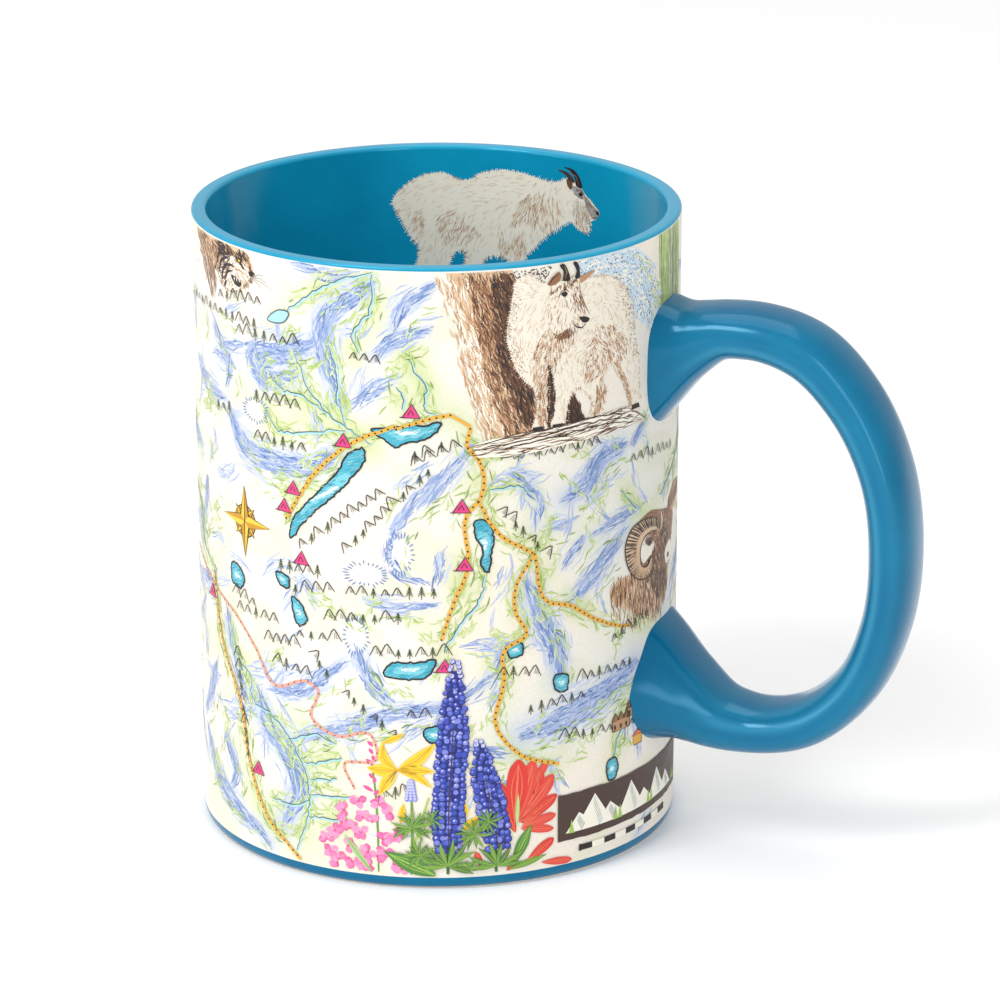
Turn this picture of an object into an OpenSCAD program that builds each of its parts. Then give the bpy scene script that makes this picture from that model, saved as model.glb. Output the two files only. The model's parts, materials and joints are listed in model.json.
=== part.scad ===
// Large ceramic mug: a slip-cast cup with a looped handle, coloured glaze coats,
// a printed wrap round the outside and a small picture inside, opposite the drinker.
// The origin is the centre of the foot, +Z is up and the handle points along +X.

/* [Cup] */
// Outside diameter at the rim
rim_d = 86.4; // [85:0.2:96]
// Outside diameter just above the foot
foot_d = 85.4; // [84:0.2:95]
// Height from the foot to the top of the rim
cup_h = 113; // [108:0.5:125]
// Diameter of the straight bore below the mouth
bore_d = 81; // [79.2:0.2:81]
// Height at which the straight bore begins
bore_start_h = 50; // [35:1:70]
// Inside diameter just above the floor
floor_d = 79.2; // [66:0.2:79.2]
// Height of the inside floor
floor_h = 7; // [6:0.5:10]
// Radius where the inside wall turns into the floor
floor_round = 9; // [5:0.5:14]

/* [Rim and foot] */
// Radius on the outer edge of the rim
rim_round_out = 0.6; // [0.3:0.1:0.8]
// Radius on the inner edge of the rim
rim_round_in = 0.8; // [0.3:0.1:1]
// Radius on the outer edge of the foot
foot_round = 1.8; // [1.2:0.1:2]
// Inside diameter of the foot ring
foot_ring_d = 73; // [60:0.5:74]
// Depth of the recess inside the foot ring
recess_h = 2; // [1:0.25:3]
// Height of the coloured band round the foot
foot_band_h = 2.3; // [2.2:0.1:5]

/* [Coats] */
// Thickness of the coloured glaze inside the cup
lining_t = 0.45; // [0.2:0.05:0.5]
// Thickness of the white glaze under the print
white_t = 0.25; // [0.2:0.05:0.4]
// Thickness of the printed wrap
print_t = 0.1; // [0.1:0.05:0.2]
// Thickness of the coloured glaze on the handle
handle_coat_t = 0.3; // [0.2:0.05:0.5]

/* [Handle] */
// Half thickness of the grip, between its inner and outer edge
grip_half_t = 4.3; // [3.6:0.1:5]
// Half width of the grip, from side to side
grip_half_w = 8; // [7:0.1:9.5]
// Exponent of the grip's section: 2 is an ellipse, more is squarer
grip_square = 2.4; // [2:0.1:3]
// Half height of the upper root on the wall
top_root_half_h = 10.9; // [9:0.1:12]
// Half width of the upper root on the wall
top_root_half_w = 9.4; // [8.5:0.1:11]
// Half height of the lower root on the wall
low_root_half_h = 11.4; // [9:0.1:12]
// Half width of the lower root on the wall
low_root_half_w = 13.6; // [10:0.1:14]

/* [Picture] */
// Direction of the inside picture, counted from the handle
picture_turn = 92; // [80:1:100]
// Height of the picture's middle
picture_h = 100.5; // [80:0.5:101]
// Width of the picture's field
picture_w = 42; // [30:1:46]
// Height of the picture's field
picture_field_h = 21; // [14:1:22]

/* [Hidden] */

coat_t = white_t + print_t;
lip_z = cup_h - rim_round_out;
bore_r = bore_d / 2;
floor_r = floor_d / 2;
foot_ring_r = foot_ring_d / 2;
foot_centre = [foot_d / 2 - foot_round, foot_round];
foot_coat_end = -50;
foot_chamfer = 0.4;
arc_steps = 8;
picture_t = 0.1;
field_power = 0.8;
cut = 1;

bisque = "#e9e2d3";
slip = "#ddd3c0";
white = "#f6f3ea";
blue = "#1a78a0";
cream = "#f3efdc";

// Outside radius of the printed wall at a height, and of the bare clay under it
function wall_r(z) = (foot_d + (rim_d - foot_d) * z / cup_h) / 2;
function clay_r(z) = wall_r(z) - coat_t;

function arc(centre, r, from, to) = [
    for (i = [0:arc_steps])
        let (a = from + (to - from) * i / arc_steps)
        centre + r * [cos(a), sin(a)]
];

// Inside of the cup from the mouth down to the floor, moved outwards by a coat
function inside_line(coat) = concat(
    [[bore_r + coat, bore_start_h]],
    arc([floor_r - floor_round, floor_h + floor_round], floor_round + coat, 0, -90),
    [[0, floor_h - coat]]
);

/* ---- Handle: sections along its path ---- */

ring_points = 28;
ring_step = 3;
lean_from = 3;
lean_to = 18;
flare_reach = 13;
saddle_reach = 9;
waist_at = 0.8;
top_root_square = 3;
low_root_square_in = 3.6;
low_root_square_out = 2;
low_root_waist = 0.26;

// Each station is [distance out from the wall, height, half thickness, half width]
stations = [
    [0, 88.8, top_root_half_h, top_root_half_w],
    [3, 90.3, 8.5, 8.6],
    [6, 92.5, 6.5, 8.2],
    [10, 94.6, 4.9, grip_half_w],
    [15, 95, grip_half_t + 0.3, grip_half_w],
    [25, 92.4, grip_half_t + 0.3, grip_half_w],
    [33.4, 84.4, grip_half_t + 0.2, grip_half_w],
    [39.5, 72.2, grip_half_t, grip_half_w],
    [41.6, 57.8, grip_half_t, grip_half_w],
    [40.2, 43.9, grip_half_t - 0.1, grip_half_w],
    [35.4, 32.6, grip_half_t - 0.1, grip_half_w],
    [26, 24.4, grip_half_t + 0.1, grip_half_w],
    [14.5, 22.6, grip_half_t + 0.4, 8.2],
    [10, 23.5, 5.4, 8.8],
    [6, 26, 7.4, 9.9],
    [3, 28.4, 9.5, 11.5],
    [0, 29.8, low_root_half_h, low_root_half_w]
];
last_station = len(stations) - 1;

function smooth(v) = let (s = min(1, max(0, v))) s * s * (3 - 2 * s);
function mix(a, b, part) = a + (b - a) * part;
function signed_pow(v, p) = sign(v) * pow(abs(v), p);
function unit(v) = v / norm(v);
function gap(i) = norm([for (c = [0, 1]) stations[i + 1][c] - stations[i][c]]);
function rate(i) = (stations[i + 1] - stations[i]) / gap(i);

// Slope of the smooth curve through the stations
function slope(i) =
    i == 0 ? rate(0)
    : i == last_station ? rate(i - 1)
    : (rate(i - 1) * gap(i) + rate(i) * gap(i - 1)) / (gap(i) + gap(i - 1));

function between(i, s) =
    stations[i] * (1 - 3 * s * s + 2 * s * s * s)
    + stations[i + 1] * (3 * s * s - 2 * s * s * s)
    + slope(i) * gap(i) * s * (1 - s) * (1 - s)
    - slope(i + 1) * gap(i) * s * s * (1 - s);

path = concat(
    [
        for (i = [0:last_station - 1])
            let (steps = ceil(gap(i) / ring_step))
            for (j = [0:steps - 1]) between(i, j / steps)
    ],
    [stations[last_station]]
);
last_ring = len(path) - 1;

function spot(k) = [path[k][0] + rim_d / 2, path[k][1]];
function heading(k) = unit(spot(min(k + 1, last_ring)) - spot(max(k - 1, 0)));

// Sections stand upright at the wall and turn square to the path further out
function section_dir(k) =
    let (
        lean = smooth((path[k][0] - lean_from) / (lean_to - lean_from)),
        away = k < last_ring / 2 ? 1 : -1
    )
    unit(heading(k) * lean + [away, 0] * (1 - lean));

function ring(k, shrink) =
    let (
        dir = section_dir(k),
        side = [-dir[1], dir[0]],
        half_t = path[k][2] - shrink,
        half_w = path[k][3] - shrink,
        upper = k < last_ring / 2,
        flare = 1 - smooth(path[k][0] / flare_reach),
        saddle = 1 - smooth(path[k][0] / saddle_reach),
        square_out = mix(grip_square, upper ? top_root_square : low_root_square_out, flare),
        square_in = mix(grip_square, upper ? top_root_square : low_root_square_in, flare),
        waist = upper ? 0 : low_root_waist * flare
    )
    [
        for (j = [0:ring_points - 1])
            let (
                a = 360 * j / ring_points,
                power = 2 / (sin(a) > 0 ? square_out : square_in),
                t = signed_pow(sin(a), power),
                narrow = 1 - waist * smooth(-t / waist_at),
                y = half_w * signed_pow(cos(a), power) * narrow,
                xz = spot(k) + half_t * t * side,
                wall_x = sqrt(pow(wall_r(xz[1]), 2) - y * y)
            )
            [xz[0] + (wall_x - rim_d / 2) * saddle, y, xz[1]]
    ];

// Side faces between rings of a tube whose points start at an index
function tube_faces(start) = [
    for (k = [0:last_ring - 1])
        for (j = [0:ring_points - 1])
            let (
                a = start + k * ring_points + j,
                b = start + k * ring_points + (j + 1) % ring_points,
                c = a + ring_points,
                d = b + ring_points
            )
            for (face = [[a, c, d], [a, d, b]]) face
];

function turned(faces) = [for (f = faces) [f[2], f[1], f[0]]];

// End face made of upright strips, so that it follows the round wall
function cap_faces(start) = [
    for (j = [0:ring_points / 2 - 1])
        let (
            a = start + j,
            b = start + j + 1,
            c = start + ring_points - j - 1,
            d = start + (ring_points - j) % ring_points
        )
        for (face = j == 0 ? [[a, b, c]] : j == ring_points / 2 - 1 ? [[a, b, d]] : [[a, b, c], [a, c, d]]) face
];

function band_faces(outer, inner) = [
    for (j = [0:ring_points - 1])
        let (
            n = (j + 1) % ring_points
        )
        for (face = [[outer + j, outer + n, inner + n], [outer + j, inner + n, inner + j]]) face
];

/* ---- Modules ---- */

// Solid of revolution under the printed wall, drawn in by a coat
module wall_cone(z0, z1, coat) {
    rotate_extrude($fn = 180)
        polygon([[0, z0], [wall_r(z0) - coat, z0], [wall_r(z1) - coat, z1], [0, z1]]);
}

module wall_sleeve(z0, z1, coat_out, coat_in) {
    rotate_extrude($fn = 180)
        polygon([
            [wall_r(z0) - coat_out, z0],
            [wall_r(z1) - coat_out, z1],
            [wall_r(z1) - coat_in, z1],
            [wall_r(z0) - coat_in, z0]
        ]);
}

// Straight plug with the outline of a root, long enough to pass through the coats
module root_plug(k) {
    outline = [for (p = ring(k, 0)) [p[1], p[2]]];
    translate([rim_d / 2 - 8, 0, 0])
        rotate([90, 0, 90])
            linear_extrude(16)
                polygon(outline);
}

module root_plugs() {
    root_plug(0);
    root_plug(last_ring);
}

module handle_tube(shrink) {
    points = [for (k = [0:last_ring]) for (p = ring(k, shrink)) p];
    faces = concat(
        tube_faces(0),
        cap_faces(0),
        turned(cap_faces(last_ring * ring_points))
    );
    polyhedron(points, faces, convexity = 6);
}

module slip_joint(k) {
    intersection() {
        wall_sleeve(foot_band_h, lip_z, 0, coat_t);
        root_plug(k);
    }
}

module cup_body() {
    color(bisque)
        rotate_extrude($fn = 180)
            polygon(concat(
                [
                    [0, recess_h + white_t],
                    [foot_ring_r - white_t, recess_h + white_t],
                    [foot_ring_r - white_t, foot_chamfer],
                    [foot_ring_r - white_t + foot_chamfer, 0],
                    [foot_centre[0] + foot_chamfer / 2, 0]
                ],
                arc(foot_centre, foot_round - coat_t, foot_coat_end, 0),
                [
                    [clay_r(lip_z), lip_z],
                    [bore_r + lining_t, lip_z]
                ],
                inside_line(lining_t)
            ));
}

module handle() {
    color(bisque) handle_tube(handle_coat_t);
}

module upper_slip_joint() {
    color(slip) slip_joint(0);
}

module lower_slip_joint() {
    color(slip) slip_joint(last_ring);
}

module outer_glaze() {
    color(white)
        difference() {
            wall_sleeve(foot_band_h, lip_z, print_t, coat_t);
            root_plugs();
        }
}

module lining_glaze() {
    outside = inside_line(lining_t);
    color(blue)
        rotate_extrude($fn = 180)
            polygon(concat(
                arc([bore_r + rim_round_in, cup_h - rim_round_in], rim_round_in, 90, 180),
                inside_line(0),
                [for (i = [len(outside) - 1:-1:0]) outside[i]],
                [[bore_r + lining_t, lip_z]],
                arc([rim_d / 2 - rim_round_out, lip_z], rim_round_out, 0, 90)
            ));
}

module foot_glaze() {
    color(blue)
        rotate_extrude($fn = 180)
            polygon(concat(
                arc(foot_centre, foot_round, foot_coat_end, 0),
                [
                    [wall_r(foot_band_h), foot_band_h],
                    [clay_r(foot_band_h), foot_band_h]
                ],
                arc(foot_centre, foot_round - coat_t, 0, foot_coat_end)
            ));
}

module base_glaze() {
    color(white)
        rotate_extrude($fn = 180)
            polygon([
                [0, recess_h],
                [foot_ring_r - 2 * white_t, recess_h],
                [foot_ring_r - 2 * white_t, 2 * foot_chamfer],
                [foot_ring_r - white_t, 2 * foot_chamfer],
                [foot_ring_r - white_t, recess_h + white_t],
                [0, recess_h + white_t]
            ]);
}

module handle_glaze() {
    points = concat(
        [for (k = [0:last_ring]) for (p = ring(k, 0)) p],
        [for (k = [0:last_ring]) for (p = ring(k, handle_coat_t)) p]
    );
    inner = (last_ring + 1) * ring_points;
    end = last_ring * ring_points;
    faces = concat(
        tube_faces(0),
        turned(tube_faces(inner)),
        band_faces(0, inner),
        turned(band_faces(end, inner + end))
    );
    color(blue) polyhedron(points, faces, convexity = 8);
}

module print_wrap() {
    color(cream)
        difference() {
            wall_sleeve(foot_band_h, lip_z, 0, print_t);
            root_plugs();
        }
}

module inner_picture() {
    field = [
        for (a = [0:12:348])
            [signed_pow(cos(a), field_power) * picture_w / 2, signed_pow(sin(a), field_power) * picture_field_h / 2]
    ];
    color(cream)
        intersection() {
            difference() {
                translate([0, 0, bore_start_h])
                    cylinder(h = cup_h - bore_start_h - rim_round_in, r = bore_r, $fn = 180);
                translate([0, 0, bore_start_h - cut])
                    cylinder(h = cup_h, r = bore_r - picture_t, $fn = 180);
            }
            rotate([0, 0, picture_turn])
                translate([0, 0, picture_h])
                    rotate([90, 0, 90])
                        linear_extrude(bore_d)
                            polygon(field);
        }
}

cup_body();
handle();
upper_slip_joint();
lower_slip_joint();
outer_glaze();
lining_glaze();
foot_glaze();
base_glaze();
handle_glaze();
print_wrap();
inner_picture();
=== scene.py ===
import json
import math
import bmesh
import bpy
import numpy as np
from mathutils import Matrix, Vector
from mathutils.geometry import tessellate_polygon


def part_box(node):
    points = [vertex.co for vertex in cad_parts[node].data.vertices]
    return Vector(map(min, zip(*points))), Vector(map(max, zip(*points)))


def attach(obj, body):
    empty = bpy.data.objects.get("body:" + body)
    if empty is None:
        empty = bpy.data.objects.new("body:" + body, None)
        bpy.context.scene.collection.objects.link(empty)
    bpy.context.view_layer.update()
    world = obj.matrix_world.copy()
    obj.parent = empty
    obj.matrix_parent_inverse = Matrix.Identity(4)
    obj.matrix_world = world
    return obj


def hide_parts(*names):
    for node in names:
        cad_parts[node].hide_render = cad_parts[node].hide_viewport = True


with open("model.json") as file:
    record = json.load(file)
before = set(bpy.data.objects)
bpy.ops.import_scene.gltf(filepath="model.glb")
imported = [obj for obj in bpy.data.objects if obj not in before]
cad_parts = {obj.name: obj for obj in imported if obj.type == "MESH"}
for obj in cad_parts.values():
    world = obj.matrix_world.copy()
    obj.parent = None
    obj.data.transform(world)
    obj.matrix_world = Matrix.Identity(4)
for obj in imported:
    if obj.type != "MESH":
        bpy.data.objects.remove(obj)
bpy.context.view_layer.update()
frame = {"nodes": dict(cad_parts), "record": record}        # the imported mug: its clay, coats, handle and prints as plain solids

mm = 0.001
root = "root"

# sizes in millimetres, read off the frame where it has them
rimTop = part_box("lining_glaze")[1]
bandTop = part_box("foot_glaze")[1]
cup = {
    "height": rimTop[2] / mm,
    "rimRadius": rimTop[0] / mm,
    "bandRadius": bandTop[0] / mm,
    "bandHeight": bandTop[2] / mm,
    "lipHeight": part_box("print_wrap")[1][2] / mm,
    "boreRadius": frame["record"]["mounts"][1]["dims"]["r_mm"],
    "boreStart": 50.0,
    "lowRadius": 39.6,
    "floorHeight": 7.0,
    "floorRound": 9.0,
    "lining": 0.45,
    "coat": 0.35,
    "rimRoundOut": 0.6,
    "rimRoundIn": 0.8,
    "footRound": 1.8,
    "ringRadius": 36.5,
    "recess": 2.0,
    "baseCoat": 0.25,
}
cup["slope"] = (cup["rimRadius"] - cup["bandRadius"]) / (cup["lipHeight"] - cup["bandHeight"])


def wallRadius(z):
    return cup["bandRadius"] + cup["slope"] * (z - cup["bandHeight"])


def smoothStep(v):
    v = np.clip(v, 0.0, 1.0)
    return v * v * (3 - 2 * v)


def signedPower(v, p):
    return np.sign(v) * np.abs(v) ** p


def arc(centre, radius, start, end, steps=10):
    angles = [math.radians(start + (end - start) * i / steps) for i in range(steps + 1)]
    return [(centre[0] + radius * math.cos(a), centre[1] + radius * math.sin(a)) for a in angles]


def linear(hexColour):
    parts = [int(hexColour[i:i + 2], 16) / 255 for i in (0, 2, 4)]
    return tuple(p / 12.92 if p <= 0.04045 else ((p + 0.055) / 1.055) ** 2.4 for p in parts) + (1.0,)


# materials

def newMaterial(name):
    material = bpy.data.materials.new(name)
    material.use_nodes = True
    return material, material.node_tree, material.node_tree.nodes["Principled BSDF"]


def addNode(tree, kind, **settings):
    node = tree.nodes.new(kind)
    for key, value in settings.items():
        setattr(node, key, value)
    return node


def objectNoise(tree, scale, detail=3.0, roughness=0.5):
    place = addNode(tree, "ShaderNodeTexCoord")
    noise = addNode(tree, "ShaderNodeTexNoise")
    noise.inputs["Scale"].default_value = scale
    noise.inputs["Detail"].default_value = detail
    noise.inputs["Roughness"].default_value = roughness
    tree.links.new(place.outputs["Object"], noise.inputs["Vector"])
    return noise.outputs["Fac"]


def ramp(tree, source, stops):
    node = addNode(tree, "ShaderNodeValToRGB")
    band = node.color_ramp
    while len(band.elements) < len(stops):
        band.elements.new(0.5)
    for element, (place, colour) in zip(band.elements, stops):
        element.position = place
        element.color = colour
    tree.links.new(source, node.inputs["Fac"])
    return node.outputs["Color"]


def bumpFrom(tree, shader, source, strength, distance):
    bump = addNode(tree, "ShaderNodeBump")
    bump.inputs["Strength"].default_value = strength
    bump.inputs["Distance"].default_value = distance
    tree.links.new(source, bump.inputs["Height"])
    tree.links.new(bump.outputs["Normal"], shader.inputs["Normal"])


def blueGlaze(name, deep, thin, paintedHighlightBlue):
    # pools darker at random, and is painted paler wherever the mesh's painted-highlight value is set:
    # painted highlight bands on the handle's sides, standing in for softbox reflections, and a painted
    # highlight on the rim
    look = {"poolScale": 60, "ripple": 0.00004, "rough": (0.13, 0.19), "shine": (0.35, 0.75, 1.0, 1)}
    material, tree, shader = newMaterial(name)
    pools = objectNoise(tree, look["poolScale"], 4)
    colour = ramp(tree, pools, [(0.35, linear(deep)), (0.65, linear(thin))])
    stretched = addNode(tree, "ShaderNodeAttribute", attribute_name="thin")
    mix = addNode(tree, "ShaderNodeMix", data_type="RGBA")
    tree.links.new(stretched.outputs["Fac"], mix.inputs[0])
    tree.links.new(colour, mix.inputs[6])
    mix.inputs[7].default_value = linear(paintedHighlightBlue)
    tree.links.new(mix.outputs[2], shader.inputs["Base Color"])
    dull, bright = look["rough"]
    stops = [(0.3, (dull, dull, dull, 1)), (0.7, (bright, bright, bright, 1))]
    gloss = ramp(tree, objectNoise(tree, 300, 3), stops)
    tree.links.new(gloss, shader.inputs["Roughness"])
    bumpFrom(tree, shader, objectNoise(tree, 160, 2), 0.2, look["ripple"])
    shader.inputs["Specular IOR Level"].default_value = 0.5
    shader.inputs["Specular Tint"].default_value = look["shine"]
    return material


def whiteGlaze():
    material, tree, shader = newMaterial("whiteGlaze")
    colour = ramp(tree, objectNoise(tree, 120), [(0.3, linear("f3efe4")), (0.7, linear("faf8f1"))])
    tree.links.new(colour, shader.inputs["Base Color"])
    shader.inputs["Roughness"].default_value = 0.2
    return material


def bareClay():
    material, tree, shader = newMaterial("bareClay")
    grit = objectNoise(tree, 1800, 5, 0.7)
    colour = ramp(tree, grit, [(0.3, linear("cfc3ad")), (0.55, linear("e6dcc9")), (0.8, linear("efe8da"))])
    tree.links.new(colour, shader.inputs["Base Color"])
    bumpFrom(tree, shader, grit, 0.5, 0.00008)
    shader.inputs["Roughness"].default_value = 0.85
    return material


def printedInk(name, roughness):
    material, tree, shader = newMaterial(name)
    tint = addNode(tree, "ShaderNodeAttribute", attribute_name="tint")
    grain = objectNoise(tree, 2600, 3, 0.6)
    soft = ramp(tree, grain, [(0.3, (0.9, 0.9, 0.9, 1)), (0.7, (1.0, 1.0, 1.0, 1))])
    mix = addNode(tree, "ShaderNodeMix", data_type="RGBA", blend_type="MULTIPLY")
    mix.inputs[0].default_value = 1.0
    tree.links.new(tint.outputs["Color"], mix.inputs[6])
    tree.links.new(soft, mix.inputs[7])
    tree.links.new(mix.outputs[2], shader.inputs["Base Color"])
    shader.inputs["Roughness"].default_value = roughness
    shader.inputs["Specular IOR Level"].default_value = 0.35
    return material


blue = blueGlaze("blueGlaze", "07628a", "0a6e94", "3f93b5")
# the inside glaze is a brighter copy of the same blue: painted light for the dimly lit inside
liningBlue = blueGlaze("liningBlue", "0d8fb4", "129bc0", "4aa9cb")
white = whiteGlaze()
clay = bareClay()
paper = printedInk("mapPaper", 0.42)


# meshes

def meshObject(name, points, faces, material, smooth=True):
    mesh = bpy.data.meshes.new(name)
    mesh.from_pydata([tuple(c * mm for c in p) for p in points], [], faces)
    mesh.validate()
    mesh.materials.append(material)
    if smooth:
        mesh.polygons.foreach_set("use_smooth", [True] * len(mesh.polygons))
    piece = bpy.data.objects.new(name, mesh)
    bpy.context.scene.collection.objects.link(piece)
    return piece


def revolve(name, profile, material, turns=256, sharpAngle=40):
    # profile: (radius, height) points; it is closed by the axis or back to its first point
    onAxis = profile[0][0] == 0 and profile[-1][0] == 0
    points, rings = [], []
    for radius, height in profile:
        if radius == 0:
            rings.append([len(points)] * turns)
            points.append((0, 0, height))
        else:
            rings.append(list(range(len(points), len(points) + turns)))
            for i in range(turns):
                a = 2 * math.pi * i / turns
                points.append((radius * math.cos(a), radius * math.sin(a), height))
    pairs = list(zip(rings[:-1], rings[1:]))
    if not onAxis:
        pairs.append((rings[-1], rings[0]))
    faces = []
    for low, high in pairs:
        for i in range(turns):
            j = (i + 1) % turns
            corners = [low[i], low[j], high[j], high[i]]
            face = [c for k, c in enumerate(corners) if c != corners[k - 1]]
            if len(face) > 2:
                faces.append(face)
    piece = meshObject(name, points, faces, material)
    turnOutward(piece)
    markSharp(piece, sharpAngle)
    return piece


def turnOutward(piece):
    work = bmesh.new()
    work.from_mesh(piece.data)
    bmesh.ops.recalc_face_normals(work, faces=work.faces)
    work.to_mesh(piece.data)
    work.free()


def markSharp(piece, angle):
    work = bmesh.new()
    work.from_mesh(piece.data)
    limit = math.radians(angle)
    for edge in work.edges:
        edge.smooth = len(edge.link_faces) == 2 and edge.calc_face_angle() < limit
    work.to_mesh(piece.data)
    work.free()


def setPaintedHighlight(piece, values):
    layer = piece.data.attributes.new("thin", "FLOAT", "POINT")
    layer.data.foreach_set("value", np.asarray(values, np.float32))


def finishPiece(piece, slot, *nodes):
    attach(piece, root)
    if nodes:
        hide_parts(*nodes)


# the cup and its coats

def insideLine(coat):
    c = cup
    centre = (c["lowRadius"] - c["floorRound"], c["floorHeight"] + c["floorRound"])
    return ([(c["boreRadius"] + coat, c["boreStart"])]
            + arc(centre, c["floorRound"] + coat, 0, -90, 16)
            + [(0, c["floorHeight"] - coat)])


def makeCupBody():
    c = cup
    footX = wallRadius(0) - c["footRound"]
    inner = c["ringRadius"] - c["baseCoat"]
    profile = ([(0, c["recess"] + c["baseCoat"]), (inner - 1.2, c["recess"] + c["baseCoat"])]
               + arc((inner - 0.6, c["recess"] + c["baseCoat"] - 0.6), 0.6, 90, 0, 6)
               + arc((inner + 0.8, 0.8), 0.8, 180, 270, 8)
               + arc((footX + 0.1, 0.5), 0.5, -90, -50, 5)
               + arc((footX, c["footRound"]), c["footRound"] - c["coat"], -50, 0, 8)
               + [(wallRadius(c["lipHeight"]) - c["coat"], c["lipHeight"]),
                  (c["boreRadius"] + c["lining"], c["lipHeight"])]
               + insideLine(c["lining"]))
    return revolve("cupBody", profile, clay)


def makeLining():
    c = cup
    rimX = wallRadius(c["lipHeight"])
    crown = [(rimX - c["rimRoundOut"] - 0.5, c["height"]),
             (c["boreRadius"] + c["rimRoundIn"] + 0.3, c["height"])]
    profile = (insideLine(c["lining"])[::-1]
               + [(c["boreRadius"] + c["lining"], c["lipHeight"]), (rimX, c["lipHeight"])]
               + arc((rimX - c["rimRoundOut"], c["lipHeight"]), c["rimRoundOut"], 0, 90, 12)
               + crown
               + arc((c["boreRadius"] + c["rimRoundIn"], c["height"] - c["rimRoundIn"]), c["rimRoundIn"],
                     90, 180, 12)
               + insideLine(0))
    piece = revolve("liningGlaze", profile, liningBlue, 320)
    # a painted highlight on the lip: the glaze is painted paler over the rim top, where the light falls
    setPaintedHighlight(piece, [smoothStep((v.co.z / mm - c["lipHeight"]) / 0.5) * 0.35 for v in piece.data.vertices])
    return piece


def makeFootBand():
    c = cup
    centre = (wallRadius(0) - c["footRound"], c["footRound"])
    top = c["bandHeight"]
    profile = (arc(centre, c["footRound"], -50, 0, 12)
               + [(wallRadius(top), top), (wallRadius(top) - c["coat"], top)]
               + arc(centre, c["footRound"] - c["coat"], 0, -50, 12))
    return revolve("footBand", profile, blue, 320)


def makeBaseGlaze():
    c = cup
    inner = c["ringRadius"] - c["baseCoat"]
    top = c["recess"] + c["baseCoat"]
    profile = ([(0, c["recess"]), (inner - 1.4, c["recess"])]
               + arc((inner - 0.6 - c["baseCoat"], c["recess"] - 0.6), 0.6, 90, 0, 6)
               + [(inner - c["baseCoat"], 0.9), (inner, 0.9)]
               + arc((inner - 0.6, top - 0.6), 0.6, 0, 90, 6)
               + [(inner - 1.2, top), (0, top)])
    return revolve("baseGlaze", profile, white)


print("cup and coats")
finishPiece(makeCupBody(), "clay", "cup_body")
finishPiece(makeLining(), "blue_glaze", "lining_glaze")
finishPiece(makeFootBand(), "blue_glaze", "foot_glaze")
finishPiece(makeBaseGlaze(), "white_glaze", "base_glaze")


# the handle, swept along its path

grip = {
    "halfThick": 4.3, "halfWide": 8.0, "square": 2.4,
    "topSquare": 3.0, "lowSquareIn": 3.6, "lowSquareOut": 2.0, "waist": 0.26, "waistAt": 0.8,
    "leanFrom": 3.0, "leanTo": 18.0, "flareReach": 13.0, "saddleReach": 9.0,
    "ringStep": 0.8, "ringPoints": 72,
    # painted highlight bands on the handle's sides, in place of softbox reflections
    "thinBands": ((0.4, -0.8, 0.1), (0.6, -0.36, 0.17), (0.2, 0.4, 0.3)),        # share, place, width
}
# distance out from the wall, height, half thickness, half width
gripStations = np.array([
    (0, 88.8, 10.9, 9.4), (3, 90.3, 8.5, 8.6), (6, 92.5, 6.5, 8.2), (10, 94.6, 4.9, 8.0),
    (15, 95, 4.6, 8.0), (25, 92.4, 4.6, 8.0), (33.4, 84.4, 4.5, 8.0), (39.5, 72.2, 4.3, 8.0),
    (41.6, 57.8, 4.3, 8.0), (40.2, 43.9, 4.2, 8.0), (35.4, 32.6, 4.2, 8.0), (26, 24.4, 4.4, 8.0),
    (14.5, 22.6, 4.7, 8.2), (10, 23.5, 5.4, 8.8), (6, 26, 7.4, 9.9), (3, 28.4, 9.5, 11.5),
    (0, 29.8, 11.4, 13.6),
])


def smoothPath(stations, step):
    gaps = np.linalg.norm(np.diff(stations[:, :2], axis=0), axis=1)
    rates = np.diff(stations, axis=0) / gaps[:, None]
    slopes = np.vstack([
        rates[:1],
        (rates[:-1] * gaps[1:, None] + rates[1:] * gaps[:-1, None]) / (gaps[1:] + gaps[:-1])[:, None],
        rates[-1:],
    ])
    rows = []
    for i, gap in enumerate(gaps):
        for s in np.linspace(0, 1, max(2, math.ceil(gap / step) + 1))[:-1]:
            rows.append(stations[i] * (1 - 3 * s * s + 2 * s ** 3)
                        + stations[i + 1] * (3 * s * s - 2 * s ** 3)
                        + slopes[i] * gap * s * (1 - s) ** 2 - slopes[i + 1] * gap * s * s * (1 - s))
    return np.array(rows + [stations[-1]])


def paintedHighlightBand(t, a, middle, width):
    # 1 along a band of the handle's side at t = middle: a painted highlight band, standing in for a softbox
    # reflection
    return np.exp(-((t - middle) / width) ** 2) * (np.abs(np.cos(a)) > 0.3)


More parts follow.
